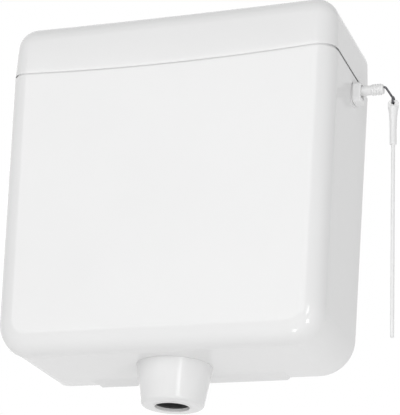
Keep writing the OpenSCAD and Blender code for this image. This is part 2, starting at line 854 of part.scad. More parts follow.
module cap_ring() {
    ring_r = barrel_r + ring_wall;
    ring_start = barrel_end - ring_over;
    lip_start = disc_face + run_gap;
    lip_r = norm([arm_hub_w / 2 + pass_gap + lug_t, lug_down]) + pass_gap;
    color("lightgray") at_inlet() difference() {
        bar_x(ring_start, lip_start + ring_lip_t, ring_r);
        bar_x(ring_start - over, lip_start, barrel_r + thread_gap);
        bar_x(lip_start - over, lip_start + ring_lip_t + over, lip_r);
        for (i = [1 : ring_notches]) rotate([360 * i / ring_notches, 0, 0])
            translate([0, 0, ring_r + notch_out])
                bar_x(ring_start - over, lip_start + ring_lip_t + over, notch_r);
    }
}

module arm_bracket() {
    lug_in = arm_hub_w / 2 + pass_gap;
    color("gainsboro") at_inlet() difference() {
        union() {
            bar_x(barrel_end + diaphragm_t, disc_face, barrel_r - run_gap);
            bar_x(disc_face - sunk, disc_face + sleeve_l, plunger_r + sleeve_wall);
            for (side = [-1, 1]) translate([0, side * (lug_in + lug_t / 2), 0]) {
                translate([disc_face - sunk, -lug_t / 2, -lug_down])
                    cube([arm_pivot + arm_hub_r - disc_face + sunk, lug_t, lug_up + lug_down]);
                translate([arm_pivot - arm_hub_r, -lug_t / 2, -finger_l])
                    cube([2 * arm_hub_r, lug_t, finger_l]);
                translate([arm_pivot, 0, -finger_l]) bar_y(lug_t, arm_hub_r);
            }
        }
        bar_x(barrel_end, disc_face + sleeve_l + over, plunger_r + run_gap);
        translate([arm_pivot, 0, -finger_l]) bar_y(2 * (lug_in + lug_t + over), arm_pin_r + push_gap);
    }
}

module plunger() {
    color("white") at_inlet() bar_x(plunger_start, plunger_end, plunger_r);
}

module arm_pin() {
    color("silver") at_float_pivot() bar_y(arm_hub_w + 2 * (pass_gap + lug_t) + over, arm_pin_r);
}

module float_arm() {
    color("goldenrod") difference() {
        union() {
            at_float_pivot() bar_y(arm_hub_w, arm_hub_r);
            at_float_pivot() rotate([0, float_swing / 2, 0]) {
                translate([-finger_r / 2, -finger_w / 2, 0]) cube([finger_r, finger_w, finger_l]);
                translate([0, 0, finger_l]) bar_y(finger_w - 2 * finger_step, finger_r);
            }
            along_float_arm()
                bent_rod([[rod_start, 0, 0], [bend_start, 0, 0], [bend_end, -float_forward, 0],
                          [rod_end, -float_forward, 0]], bend_r, float_rod_r);
        }
        at_float_pivot() bar_y(arm_hub_w + 2 * over, arm_pin_r + run_gap);
    }
}

module float_near_half() {
    end = -float_l / 2;
    color("white") at_float() difference() {
        union() {
            difference() {
                union() {
                    translate([0, 0, end + float_r]) sphere(r = float_r);
                    translate([0, 0, end + float_r]) cylinder(r = float_r, h = -end - float_r);
                    translate([0, 0, -sunk]) cylinder(r = float_r - float_wall / 2, h = float_lap + sunk);
                }
                translate([0, 0, end + float_r]) sphere(r = float_r - float_wall);
                translate([0, 0, end + float_r]) cylinder(r = float_r - float_wall, h = float_l);
            }
            translate([0, 0, end - float_boss_out])
                cylinder(r = float_boss_r, h = float_boss_out + float_boss_in);
        }
        translate([0, 0, end - float_boss_out - over])
            cylinder(r = float_rod_r + push_gap, h = float_boss_out + float_boss_in + 2 * over);
    }
}

module float_far_half() {
    end = float_l / 2;
    color("white") at_float() difference() {
        union() {
            translate([0, 0, end - float_r]) sphere(r = float_r);
            cylinder(r = float_r, h = end - float_r);
        }
        translate([0, 0, end - float_r]) sphere(r = float_r - float_wall);
        translate([0, 0, -over]) cylinder(r = float_r - float_wall, h = end - float_r + over);
        translate([0, 0, -over])
            cylinder(r = float_r - float_wall / 2 + push_gap, h = float_lap + over + push_gap);
        translate([0, 0, -float_r]) cylinder(r = float_r + over, h = float_r);
    }
}

module float_nut() {
    end = -float_l / 2 - float_boss_out;
    color("goldenrod") at_float() difference() {
        translate([0, 0, end - float_nut_t]) cylinder(r = float_nut_r, h = float_nut_t, $fn = nut_sides);
        translate([0, 0, end - float_nut_t - over])
            cylinder(r = float_rod_r + push_gap, h = float_nut_t + 2 * over);
    }
}

module silencer_tube() {
    color("whitesmoke") at_inlet() translate([barrel_end - spigot_back, 0, 0])
        ring(spigot_r + push_gap, spigot_r + silencer_wall, silencer_end - inlet_z, -barrel_r - silencer_gap);
}

hung() tank();
hung() cover();
hung() lever_bush();
hung() bush_lock();
hung() lever_pin();
hung() flush_lever();
hung() lift_arm();
hung() arm_screw();
hung() pull_hook();
hung() pull_ferrule();
hung() pull_rod();
hung() outlet_body();
hung() outlet_gasket();
hung() outlet_backnut();
hung() outlet_nut();
hung() pipe_seal();
hung() overflow_tube();
hung() bell_float();
hung() seat_washer();
hung() valve_foot();
hung() lift_yoke();
hung() inlet_body();
hung() inlet_washer();
hung() inlet_backnut();
hung() inlet_diaphragm();
hung() cap_ring();
hung() arm_bracket();
hung() plunger();
hung() arm_pin();
hung() float_arm();
hung() float_near_half();
hung() float_far_half();
hung() float_nut();
hung() silencer_tube();
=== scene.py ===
# %% [markdown]
# # A wall-hung toilet cistern
# A high-level cistern is a thin moulded tank that hangs on a wall. A side lever with a long pull
# lifts a valve in the tank, and the water leaves through an outlet under the floor. This lesson
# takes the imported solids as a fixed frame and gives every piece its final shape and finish.

# %% Load the frame
import json
import math

import bmesh
import bpy
from mathutils import Matrix, Vector


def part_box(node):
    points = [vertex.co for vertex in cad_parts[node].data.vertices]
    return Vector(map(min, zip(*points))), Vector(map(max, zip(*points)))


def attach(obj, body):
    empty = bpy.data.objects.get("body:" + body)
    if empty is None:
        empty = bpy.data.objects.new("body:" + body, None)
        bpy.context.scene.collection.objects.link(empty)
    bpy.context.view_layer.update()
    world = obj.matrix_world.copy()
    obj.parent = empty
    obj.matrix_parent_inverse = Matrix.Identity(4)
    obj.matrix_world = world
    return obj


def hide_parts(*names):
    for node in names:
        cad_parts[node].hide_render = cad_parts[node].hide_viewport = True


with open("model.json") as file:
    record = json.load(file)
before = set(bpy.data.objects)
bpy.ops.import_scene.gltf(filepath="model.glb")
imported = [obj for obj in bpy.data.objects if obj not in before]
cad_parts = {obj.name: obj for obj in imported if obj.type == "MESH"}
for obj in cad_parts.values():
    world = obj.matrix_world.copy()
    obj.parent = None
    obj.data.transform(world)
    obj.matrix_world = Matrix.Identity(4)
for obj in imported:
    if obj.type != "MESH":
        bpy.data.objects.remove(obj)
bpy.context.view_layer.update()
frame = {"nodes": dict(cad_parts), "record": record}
bodies = frame["record"]["behaviour"]["bodies"]
body_of = {node: body for body, members in bodies.items() for node in members}
slot_of = {row["node"]: row["material_slot"] for row in frame["record"]["subparts"]}

# %% [markdown]
# Plumbers measure a tank from the underside of its floor, so all shapes below are drawn in
# millimetres with heights counted from there. The outlet nut bears on the floor, which makes the
# nut's top face the level to measure from. Only the last step of each piece turns its mesh into
# metres in the frame.

# %% Millimetres above the floor
MM = 1000.0
floor_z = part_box("outlet_nut")[1].z


def span(node):
    """A node's lowest and highest corner in millimetres, with heights above the tank's floor."""
    shift = Vector((0, 0, floor_z))
    low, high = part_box(node)
    return (low - shift) * MM, (high - shift) * MM


def middle(node):
    """The middle of a node's box in millimetres above the floor."""
    low, high = span(node)
    return (low + high) / 2


def upright(node):
    """The radius and the lowest and highest level of a node turned about an upright axis."""
    low, high = span(node)
    return (high.x - low.x) / 2, low.z, high.z


def lying(node):
    """The radius and the left and right end of a node turned about an axis along X."""
    low, high = span(node)
    return (high.z - low.z) / 2, low.x, high.x


print("the floor lies", round(-floor_z * MM, 1), "mm below the hanging holes")

# %% [markdown]
# The photograph looks up at the tank from the right, as someone standing in the room does. The
# camera's place, its three angles and its lens come from the tank's outline: straight edges that
# converge give the angles, and how fast they converge gives the distance.

# %% Camera
PHOTO_HEIGHT = 415
FOCAL_PIXELS = 1798.9
SENSOR = 36.0
CAMERA_PLACE = (0.6136, -1.6273, -0.7442)
CAMERA_HEADING = math.radians(20.797)
CAMERA_TILT = math.radians(21.039)
CAMERA_ROLL = math.radians(3.514)



def in_scene(name, data):
    """A new object of the scene that holds some data."""
    obj = bpy.data.objects.new(name, data)
    bpy.context.scene.collection.objects.link(obj)
    return obj


camera = in_scene("camera", bpy.data.cameras.new("camera"))
camera.data.sensor_width = SENSOR
camera.data.lens = FOCAL_PIXELS / PHOTO_HEIGHT * SENSOR
turn_to_photo = (
    Matrix.Rotation(CAMERA_HEADING, 4, "Z")
    @ Matrix.Rotation(math.pi / 2 + CAMERA_TILT, 4, "X")
    @ Matrix.Rotation(CAMERA_ROLL, 4, "Z")
)
camera.matrix_world = Matrix.Translation(CAMERA_PLACE) @ turn_to_photo
bpy.context.scene.camera = camera
bpy.context.scene.view_settings.view_transform = "Standard"
print("camera lens:", round(camera.data.lens, 1), "mm")

# %% [markdown]
# Shaders are built from nodes. Three small helpers keep that readable: one adds a node and sets
# its inputs by name, one links outputs to inputs, and one starts a material.

# %% Node helpers


def add_node(tree, kind, values=None, **settings):
    """A new node of a tree, with its properties and then its inputs set."""
    node = tree.nodes.new(kind)
    for key, value in settings.items():
        setattr(node, key, value)
    for key, value in (values or {}).items():
        node.inputs[key].default_value = value
    return node


def links(tree, *rows):
    """Links nodes. A row holds a node, its output, the node it leads to and that node's input."""
    for source, output, target, socket in rows:
        tree.links.new(source.outputs[output], target.inputs[socket])


def fresh_material(name):
    """A material with only an output and a Principled shader, its tree and that shader."""
    material = bpy.data.materials.new(name)
    material.use_nodes = True
    tree = material.node_tree
    shader = next(n for n in tree.nodes if n.type == "BSDF_PRINCIPLED")
    return material, tree, shader


# %% [markdown]
# A studio shot of white plastic is lit by soft, even light, with a brighter source in front so
# that the front face is the lightest plane. A tall strip of light stands on the right, and the
# nut reflects it as a bright streak. Two small lamps below make the sparks on the lower corner,
# and a weak one behind lights the wall side. The world is a plain grey for lighting, and white
# where the camera or a reflection looks at it.

# %% World and lamps
AMBIENT = 0.4
WHITE = (1, 1, 1, 1)

world = bpy.data.worlds.new("studio")
bpy.context.scene.world = world
world.use_nodes = True
tree = world.node_tree
tree.nodes.clear()
rays = add_node(tree, "ShaderNodeLightPath")
seen = add_node(tree, "ShaderNodeMath", operation="MAXIMUM")
shown = add_node(tree, "ShaderNodeMath", operation="MAXIMUM")
light = add_node(tree, "ShaderNodeBackground", {"Color": WHITE, "Strength": AMBIENT})
white = add_node(tree, "ShaderNodeBackground", {"Color": WHITE, "Strength": 1.0})
choose = add_node(tree, "ShaderNodeMixShader")
out = add_node(tree, "ShaderNodeOutputWorld")
links(tree,
      (rays, "Is Camera Ray", seen, 0),
      (rays, "Is Glossy Ray", seen, 1),
      (seen, 0, shown, 0),
      (rays, "Is Transmission Ray", shown, 1),
      (shown, 0, choose, 0),
      (light, 0, choose, 1),
      (white, 0, choose, 2),
      (choose, 0, out, 0))

tank_middle = (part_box("tank")[0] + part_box("tank")[1]) / 2


def softbox(name, place, width, height, watts):
    """A soft lamp at a place in metres, turned to face the middle of the tank."""
    lamp = in_scene(name, bpy.data.lights.new(name, "AREA"))
    lamp.data.shape = "RECTANGLE"
    lamp.data.size = width
    lamp.data.size_y = height
    lamp.data.energy = watts
    lamp.location = place
    lamp.rotation_euler = (tank_middle - Vector(place)).to_track_quat("-Z", "Y").to_euler()


softbox("key", (-0.35, -2.5, 0.5), 2.6, 1.6, 22)
softbox("strip", (1.42, -1.9, -0.25), 0.4, 0.8, 4.4)
softbox("right_spark", (1.13, -0.9, -0.95), 0.24, 0.24, 1.9)
softbox("low_spark", (0.3, -0.87, -1.46), 0.3, 0.3, 2.2)
softbox("back", (-1.4, 2.0, 0.6), 1.6, 1.6, 6)

# %% [markdown]
# The floor is far below, because such a cistern hangs high. Near its middle it is a pale matt
# surface that takes the soft shadow, and further out it turns into plain white, so no horizon
# shows. Seen from underneath it is clear, so it never hides the object.

# %% Floor
FLOOR_DROP, FLOOR_RADIUS = 0.75, 6.0
FLOOR_PALE, FLOOR_FADE = 0.2, 1.4
FLOOR_ROUGH, FLOOR_BOUNCE = 0.8, 0.85
floor_level = CAMERA_PLACE[2] - FLOOR_DROP


def grey(level):
    """A colour of equal parts."""
    return (level, level, level)


def mesh_of(name, bm):
    """A mesh with the faces of a bmesh, which is used up."""
    mesh = bpy.data.meshes.new(name)
    bm.to_mesh(mesh)
    bm.free()
    return mesh


disc = bmesh.new()
bmesh.ops.create_circle(disc, cap_ends=True, segments=96, radius=FLOOR_RADIUS)
floor = in_scene("floor", mesh_of("floor", disc))
floor.data.transform(Matrix.Translation((0, 0, floor_level)))

floor_finish, tree, shader = fresh_material("floor_paint")
shader.inputs["Roughness"].default_value = FLOOR_ROUGH
place = add_node(tree, "ShaderNodeTexCoord")
flat = add_node(tree, "ShaderNodeVectorMath", {1: (1, 1, 0)}, operation="MULTIPLY")
reach = add_node(tree, "ShaderNodeVectorMath", operation="LENGTH")
fade = add_node(tree, "ShaderNodeMapRange", {"From Min": FLOOR_PALE, "From Max": FLOOR_FADE})
grain = add_node(tree, "ShaderNodeTexNoise", {"Scale": 30.0, "Detail": 3.0})
paint = add_node(tree, "ShaderNodeMix", {"A": (*grey(0.86), 1), "B": (*grey(0.9), 1)}, data_type="RGBA")
white_floor = add_node(tree, "ShaderNodeEmission", {"Color": WHITE})
rays = add_node(tree, "ShaderNodeLightPath")
glow = add_node(tree, "ShaderNodeMapRange", {"To Min": 1.0, "To Max": FLOOR_BOUNCE})
clear = add_node(tree, "ShaderNodeBsdfTransparent")
side = add_node(tree, "ShaderNodeNewGeometry")
outer = add_node(tree, "ShaderNodeMixShader")
under = add_node(tree, "ShaderNodeMixShader")
out = next(n for n in tree.nodes if n.type == "OUTPUT_MATERIAL")
links(tree,
      (place, "Object", flat, 0),
      (flat, 0, reach, 0),
      (reach, "Value", fade, "Value"),
      (place, "Object", grain, "Vector"),
      (grain, 0, paint, "Factor"),
      (paint, "Result", shader, "Base Color"),
      (rays, "Is Diffuse Ray", glow, "Value"),
      (glow, 0, white_floor, "Strength"),
      (fade, 0, outer, 0),
      (shader, 0, outer, 1),
      (white_floor, 0, outer, 2),
      (side, "Backfacing", under, 0),
      (outer, 0, under, 1),
      (clear, 0, under, 2),
      (under, 0, out, 0))
floor.data.materials.append(floor_finish)
print("floor at", round(floor_level, 2), "m")

# %% [markdown]
# Moulded plastic is never quite even. Its tone drifts a little over a hand's width, handling
# leaves patches of lower gloss, and the mould gives it a faint orange-peel skin. All the plastic
# pieces share this effect, so it is a node group with the colour and the gloss as inputs.

# %% Shared effect: moulded skin
COLOUR, VALUE = "NodeSocketColor", "NodeSocketFloat"


def effect(name, **inputs):
    """A new shader node group that puts out a colour, a roughness and a height, and its two ends."""
    tree = bpy.data.node_groups.new(name, "ShaderNodeTree")
    for label, value in inputs.items():
        kind = VALUE if isinstance(value, float) else COLOUR
        socket = tree.interface.new_socket(label, in_out="INPUT", socket_type=kind)
        socket.default_value = value
    for label, kind in (("Colour", COLOUR), ("Roughness", VALUE), ("Height", VALUE)):
        tree.interface.new_socket(label, in_out="OUTPUT", socket_type=kind)
    return tree, add_node(tree, "NodeGroupInput"), add_node(tree, "NodeGroupOutput")


def noise(tree, place, output, **values):
    """A noise that reads its place from a node's output."""
    node = add_node(tree, "ShaderNodeTexNoise", values)
    links(tree, (place, output, node, "Vector"))
    return node


def ranged(tree, source, **values):
    """A node's first output, stretched to another range."""
    node = add_node(tree, "ShaderNodeMapRange", {key.replace("_", " "): v for key, v in values.items()})
    links(tree, (source, 0, node, "Value"))
    return node


def blend(tree, kind, factor, given, first, second):
    """A node that goes from one input of a group to another as a factor rises."""
    node = add_node(tree, "ShaderNodeMix", data_type=kind)
    links(tree, (factor, 0, node, "Factor"), (given, first, node, "A"), (given, second, node, "B"))
    return node


moulded, given, result = effect("moulded_skin", Colour=WHITE, Shade=WHITE, Gloss=0.1, Smudged=0.2)
place = add_node(moulded, "ShaderNodeTexCoord")
drift = noise(moulded, place, "Object", Scale=11.0, Detail=3.0)
handled = noise(moulded, place, "Object", Scale=46.0, Detail=5.0)
peel = noise(moulded, place, "Object", Scale=420.0, Detail=1.0)
patches = ranged(moulded, handled, From_Min=0.45, From_Max=0.75)
tone = blend(moulded, "RGBA", drift, given, "Colour", "Shade")
gloss = blend(moulded, "FLOAT", patches, given, "Gloss", "Smudged")
links(moulded,
      (tone, "Result", result, "Colour"),
      (gloss, "Result", result, "Roughness"),
      (peel, 0, result, "Height"))
print("effect:", moulded.name, "with", len(moulded.nodes), "nodes")

# %% [markdown]
# Each finish puts that group in front of a Principled shader and adds a light bump. The tank and
# cover are glossy white, the fittings are the same plastic with less polish, and the inner pieces
# are duller. White is written as it measures on the object, a little under full white.

# %% Plastic finishes
PEEL_DEEP = 0.0002


def skinned(name, group, values, bump, depth):
    """A material whose colour, roughness and bump come from a shared effect, and its shader."""
    material, tree, shader = fresh_material(name)
    skin = add_node(tree, "ShaderNodeGroup", node_tree=group)
    for label, value in values.items():
        skin.inputs[label].default_value = value
    relief = add_node(tree, "ShaderNodeBump", {"Strength": bump, "Distance": depth})
    links(tree,
          (skin, "Colour", shader, "Base Color"),
          (skin, "Roughness", shader, "Roughness"),
          (skin, "Height", relief, "Height"),
          (relief, "Normal", shader, "Normal"))
    return material, shader


def plastic(name, colour, shade, gloss, smudged, bump):
    """A moulded plastic in a colour that drifts to a shade of it."""
    values = {"Colour": (*colour, 1), "Shade": (*shade, 1), "Gloss": gloss, "Smudged": smudged}
    return skinned(name, moulded, values, bump, PEEL_DEEP)[0]


PLASTICS = {
    "tank_plastic": (grey(0.83), grey(0.8), 0.1, 0.17, 0.05),
    "cover_plastic": (grey(0.83), grey(0.8), 0.12, 0.2, 0.05),
    "nut_plastic": (grey(0.81), grey(0.77), 0.16, 0.26, 0.08),
    "lever_plastic": (grey(0.88), grey(0.84), 0.22, 0.34, 0.1),
    "pull_plastic": (grey(0.86), grey(0.82), 0.24, 0.36, 0.1),
    "inner_plastic": ((0.78, 0.78, 0.76), (0.72, 0.72, 0.7), 0.3, 0.45, 0.15),
    "bell_plastic": ((0.55, 0.6, 0.64), (0.48, 0.53, 0.57), 0.3, 0.45, 0.15),
    "float_plastic": ((0.75, 0.77, 0.78), (0.69, 0.71, 0.72), 0.28, 0.42, 0.12),
}
finishes = {name: plastic(name, *look) for name, look in PLASTICS.items()}
print("plastics:", sorted(finishes))

# %% [markdown]
# Wire and pins are drawn steel, which shows fine lines and darker patches where oil or oxide
# stays. The float arm is brass, with dull spots. Rubber is nearly black with a grey bloom. Two
# more groups hold these effects.

# %% Metal and rubber finishes
LINE_DEEP, LINE_BUMP = 0.0001, 0.25
GRIT_DEEP, GRIT_BUMP = 0.0002, 0.3

drawn, given, result = effect("drawn_metal", Colour=WHITE, Tarnish=(*grey(0.2), 1), Gloss=0.2, Dull=0.5)
place = add_node(drawn, "ShaderNodeTexCoord")
stretch = add_node(drawn, "ShaderNodeMapping", {"Scale": (300.0, 1600.0, 300.0)})
lines = noise(drawn, stretch, "Vector", Scale=1.0, Detail=2.0)
spots = noise(drawn, place, "Object", Scale=210.0, Detail=6.0, Roughness=0.65)
stained = ranged(drawn, spots, From_Min=0.42, From_Max=0.72)
tone = blend(drawn, "RGBA", stained, given, "Colour", "Tarnish")
gloss = blend(drawn, "FLOAT", stained, given, "Gloss", "Dull")
links(drawn,
      (place, "Object", stretch, "Vector"),
      (tone, "Result", result, "Colour"),
      (gloss, "Result", result, "Roughness"),
      (lines, 0, result, "Height"))


def metal(name, colour, tarnish, gloss, dull):
    """A drawn metal with tarnish in patches."""
    values = {"Colour": (*colour, 1), "Tarnish": (*tarnish, 1), "Gloss": gloss, "Dull": dull}
    material, shader = skinned(name, drawn, values, LINE_BUMP, LINE_DEEP)
    shader.inputs["Metallic"].default_value = 1.0
    return material


bloomed, given, result = effect("rubber_bloom", Colour=(*grey(0), 1), Bloom=(*grey(0.1), 1))
place = add_node(bloomed, "ShaderNodeTexCoord")
cloud = noise(bloomed, place, "Object", Scale=130.0, Detail=6.0)
grit = noise(bloomed, place, "Object", Scale=1500.0, Detail=1.0)
worn = ranged(bloomed, cloud, To_Min=0.5, To_Max=0.75)
tone = blend(bloomed, "RGBA", cloud, given, "Colour", "Bloom")
links(bloomed,
      (tone, "Result", result, "Colour"),
      (worn, 0, result, "Roughness"),
      (grit, 0, result, "Height"))

METALS = {
    "hook_wire": ((0.13, 0.13, 0.14), (0.05, 0.05, 0.055), 0.3, 0.5),
    "steel_pin": (grey(0.6), (0.38, 0.38, 0.37), 0.22, 0.42),
    "arm_brass": ((0.72, 0.53, 0.25), (0.42, 0.3, 0.14), 0.24, 0.46),
}
RUBBER = {"Colour": (0.016, 0.016, 0.017, 1), "Bloom": (0.045, 0.045, 0.046, 1)}
finishes.update({name: metal(name, *look) for name, look in METALS.items()})
finishes["rubber"] = skinned("rubber", bloomed, RUBBER, GRIT_BUMP, GRIT_DEEP)[0]
print("finishes:", len(finishes))

# %% [markdown]
# Every node of the frame gets its finish at once. Most nodes are replaced further down by finer
# meshes. Those that stay, because they sit closed inside other pieces, are then finished already.

# %% Finish the frame's own nodes
for node, obj in frame["nodes"].items():
    obj.data.materials.clear()
    obj.data.materials.append(finishes[slot_of[node]])
print("painted", len(frame["nodes"]), "nodes")

# %% [markdown]
# All meshes below are built with bmesh from a few kinds of sheet. A grid joins rows of points
# with quads. A turned piece sweeps a profile about an axis, as a lathe does. Rounding the corners
# of a profile first gives every turned edge its small moulded radius, which catches the light.
# In a profile, a point is a radius and a height, and a third number rounds that corner alone.

# %% Mesh helpers
SHARP_EDGE = math.radians(30)
ALMOST_STRAIGHT = math.radians(88)
MOST_CUT = 0.49
MERGE = 0.001


def grid(bm, rows, closed=False):
    """Quads between rows of points, joined end to start in each row if closed."""
    lines = [[bm.verts.new(p) for p in row] for row in rows]
    for low, high in zip(lines, lines[1:]):
        count = len(low) if closed else len(low) - 1
        for k in range(count):
            m = (k + 1) % len(low)
            bm.faces.new((low[k], low[m], high[m], high[k]))


def joined(bm):
    """Merges the seams of a mesh and turns its faces outwards."""
    bmesh.ops.remove_doubles(bm, verts=bm.verts, dist=MERGE)
    bmesh.ops.dissolve_degenerate(bm, edges=bm.edges, dist=MERGE)
    bmesh.ops.recalc_face_normals(bm, faces=bm.faces)
    return bm


def rounded(points, radius, steps=4, closed=True):
    """A line of points with its corners rounded. A point's extra number is its own radius."""
    size = 2 if closed else 3
    out = []
    for k, point in enumerate(points):
        here = Vector(point[:size])
        r = point[size] if len(point) > size else radius
        if r <= 0 or (not closed and k in (0, len(points) - 1)):
            out.append(here)
            continue
        back = Vector(points[k - 1][:size]) - here
        ahead = Vector(points[(k + 1) % len(points)][:size]) - here
        half_angle = back.angle(ahead) / 2
        if half_angle > ALMOST_STRAIGHT:
            out.append(here)
            continue
        cut = min(r / math.tan(half_angle), MOST_CUT * back.length, MOST_CUT * ahead.length)
        start, end = here + back.normalized() * cut, here + ahead.normalized() * cut
        bow = (back.normalized() + ahead.normalized()).normalized()
        centre = here + bow * cut / math.cos(half_angle)
        arc_radius = cut * math.tan(half_angle)
        for s in range(steps + 1):
            chord = start.lerp(end, s / steps) - centre
            out.append(centre + chord.normalized() * arc_radius)
    return out


def arc(x, y, radius, start, end, steps):
    """Points on an arc about a centre, from one angle to another."""
    angles = [start + (end - start) * k / steps for k in range(steps + 1)]
    return [Vector((x + radius * math.cos(a), y + radius * math.sin(a))) for a in angles]


def ring(inner, outer, low, high, edge):
    """The profile of a plain ring with softened edges."""
    return rounded([(inner, low), (outer, low), (outer, high), (inner, high)], edge)


UPRIGHT = Matrix.Identity(4)
ALONG_X = Matrix.Rotation(math.pi / 2, 4, "Y")
ALONG_Y = Matrix.Rotation(-math.pi / 2, 4, "X")


def at(x, y, z, turn=UPRIGHT):
    """A place in millimetres, with a turn of the local axes."""
    return Matrix.Translation((x, y, z)) @ turn


def along(place, distance):
    """A place that lies further along the local Z axis of another."""
    return place @ Matrix.Translation((0, 0, distance))


def swept(profiles, place):
    """Joins profiles of radius and height, each turned a step further round the local Z axis."""
    bm = bmesh.new()
    rows = []
    for k, profile in enumerate(profiles):
        a = 2 * math.pi * k / (len(profiles) - 1)
        rows.append([place @ Vector((r * math.cos(a), r * math.sin(a), h)) for r, h in profile])
    grid(bm, rows, closed=True)
    return joined(bm)


def turned(profile, steps=64, place=UPRIGHT):
    """Sweeps one closed profile all the way round, as a lathe does."""
    return swept([profile] * (steps + 1), place)


def loft(rows):
    """A solid through rings of points, with its two ends filled."""
    bm = bmesh.new()
    grid(bm, rows, closed=True)
    joined(bm)
    bmesh.ops.holes_fill(bm, edges=bm.edges)
    bmesh.ops.recalc_face_normals(bm, faces=bm.faces)
    return bm


def block(low, high, radius=0.0):
    """A box between two corners, with its edges rounded."""
    bm = bmesh.new()
    size = Vector(high) - Vector(low)
    centre = (Vector(high) + Vector(low)) / 2
    stretch = Matrix.Translation(centre) @ Matrix.Diagonal((*size, 1))
    bmesh.ops.create_cube(bm, size=1.0, matrix=stretch)
    if radius:
        bmesh.ops.bevel(bm, geom=bm.edges[:], offset=radius, segments=3, profile=0.5, affect="EDGES")
    return joined(bm)


def bar(place, radius, length, edge=0.4, steps=48):
    """A round bar along the local Z axis with softened ends."""
    profile = rounded([(0, 0, 0), (radius, 0), (radius, length), (0, length, 0)], edge)
    return turned(profile, steps, place)


def evaluated(obj):
    """What an object's modifiers or its curve make, as a bmesh."""
    mesh = bpy.data.meshes.new_from_object(obj.evaluated_get(bpy.context.evaluated_depsgraph_get()))
    bm = bmesh.new()
    bm.from_mesh(mesh)
    bpy.data.meshes.remove(mesh)
    return bm


def combined(base, others, operation):
    """Joins other meshes to a base, or cuts them from it, with an exact boolean."""
    objects = [in_scene("rough", mesh_of("rough", bm)) for bm in (base, *others)]
    for other in objects[1:]:
        cut = objects[0].modifiers.new("cut", "BOOLEAN")
        cut.object = other
        cut.operation = operation
        cut.solver = "EXACT"
    result = evaluated(objects[0])
    for mesh in [obj.data for obj in objects]:
        bpy.data.meshes.remove(mesh)
    return joined(result)


def piece(name, bm, *stands_for, body=None, slot=None):
    """Turns a drawing in millimetres into a finished piece that rides on its nodes' body."""
    mesh = mesh_of(name, bm)
    mesh.transform(Matrix.Translation((0, 0, floor_z)) @ Matrix.Scale(1 / MM, 4))
    finish = slot or slot_of[stands_for[0]]
    mesh.materials.append(finishes[finish])
    mesh.shade_smooth()
    mesh.set_sharp_from_angle(angle=SHARP_EDGE)
    obj = in_scene(name, mesh)
    even = obj.modifiers.new("even", "WEIGHTED_NORMAL")
    even.keep_sharp = True
    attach(obj, body or body_of[stands_for[0]])
    if stands_for:
        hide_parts(*stands_for)
    print(name, "has", len(mesh.polygons), "faces")


print("mesh helpers ready")

# %% [markdown]
# The tank and the cover are the same kind of form: a tub with one closed end, large soft corners
# at that end and a bowed mouth. It could be a cube with bevels, but the front, the sides and the
# mouth all lean by different amounts. So each tub is drawn as a wall outline seen from the front,
# carried from the back edge to the front panel along stations that draw in around the edges.

# %% The tub form
SIDE_ROWS, ARC_ROWS, FLOOR_COLUMNS = 8, 12, 28
BACK_STEPS, WALL_STEPS, EDGE_STEPS = 3, 4, 12
BACK_EDGE, LEAST_EDGE = 2.5, 0.6
SETTLE = 3


class Tub:
    """A tub's sizes in millimetres. Heights are counted from its closed end."""

    def __init__(self, half, side_lean, deep, front_lean, corner, edge, mouth_edge, height):
        self.half, self.side_lean = half, side_lean
        self.deep, self.front_lean = deep, front_lean
        self.corner, self.edge, self.mouth_edge = corner, edge, mouth_edge
        self.height = height

    def front(self, h):
        """How deep the tub is at a height."""
        return self.deep + self.front_lean * (h - self.edge)

    def edge_radius(self, h):
        """The radius of the front edges at a height."""
        share = min(max((h - self.corner) / (self.height(0) - self.corner), 0), 1)
        return self.edge + (self.mouth_edge - self.edge) * share

    def station(self, inset, h, k):
        """How far a line along the wall is drawn in, and its depth from the wall of the house."""
        back_r = max(BACK_EDGE - inset, LEAST_EDGE)
        front_r = self.edge_radius(h) - inset
        back, front = inset, self.front(h) - inset
        if k <= BACK_STEPS:
            a = math.pi / 2 * k / BACK_STEPS
            return inset + back_r * (1 - math.sin(a)), -back - back_r * (1 - math.cos(a))
        k -= BACK_STEPS
        if k < WALL_STEPS:
            return inset, -back - back_r - (front - front_r - back - back_r) * k / WALL_STEPS
        a = math.pi / 2 * (k - WALL_STEPS) / EDGE_STEPS
        return inset + front_r * (1 - math.cos(a)), -front + front_r * (1 - math.sin(a))

    def wall(self, inset, fall, row, k):
        """A point on the right wall or its corner: a row down from the mouth, at a station.

        Its height and how far it is drawn in depend on each other, so they settle in a few rounds.
        """
        lean = math.atan(self.side_lean)
        centre = self.half - self.corner / math.cos(lean)
        if row <= SIDE_ROWS:
            h = self.height(self.half) - fall
            for _ in range(SETTLE):
                drawn_in, y = self.station(inset, h, k)
                x = self.half + self.side_lean * (h - self.corner) - drawn_in / math.cos(lean)
                top = self.height(x) - fall
                low = self.corner - (self.corner - drawn_in) * math.sin(lean)
                h = top + (low - top) * row / SIDE_ROWS
            drawn_in, y = self.station(inset, h, k)
            x = self.half + self.side_lean * (h - self.corner) - drawn_in / math.cos(lean)
            return Vector((x, y, h))
        a = -lean - (math.pi / 2 - lean) * (row - SIDE_ROWS) / ARC_ROWS
        h = 0
        for _ in range(SETTLE):
            drawn_in, y = self.station(inset, h, k)
            h = self.corner + (self.corner - drawn_in) * math.sin(a)
        drawn_in, y = self.station(inset, h, k)
        return Vector((centre + (self.corner - drawn_in) * math.cos(a), y, h))


ROWS = SIDE_ROWS + ARC_ROWS
STATIONS = BACK_STEPS + WALL_STEPS + EDGE_STEPS


def mirrored(p):
    """The same point on the tub's left side."""
    return Vector((-p.x, p.y, p.z))


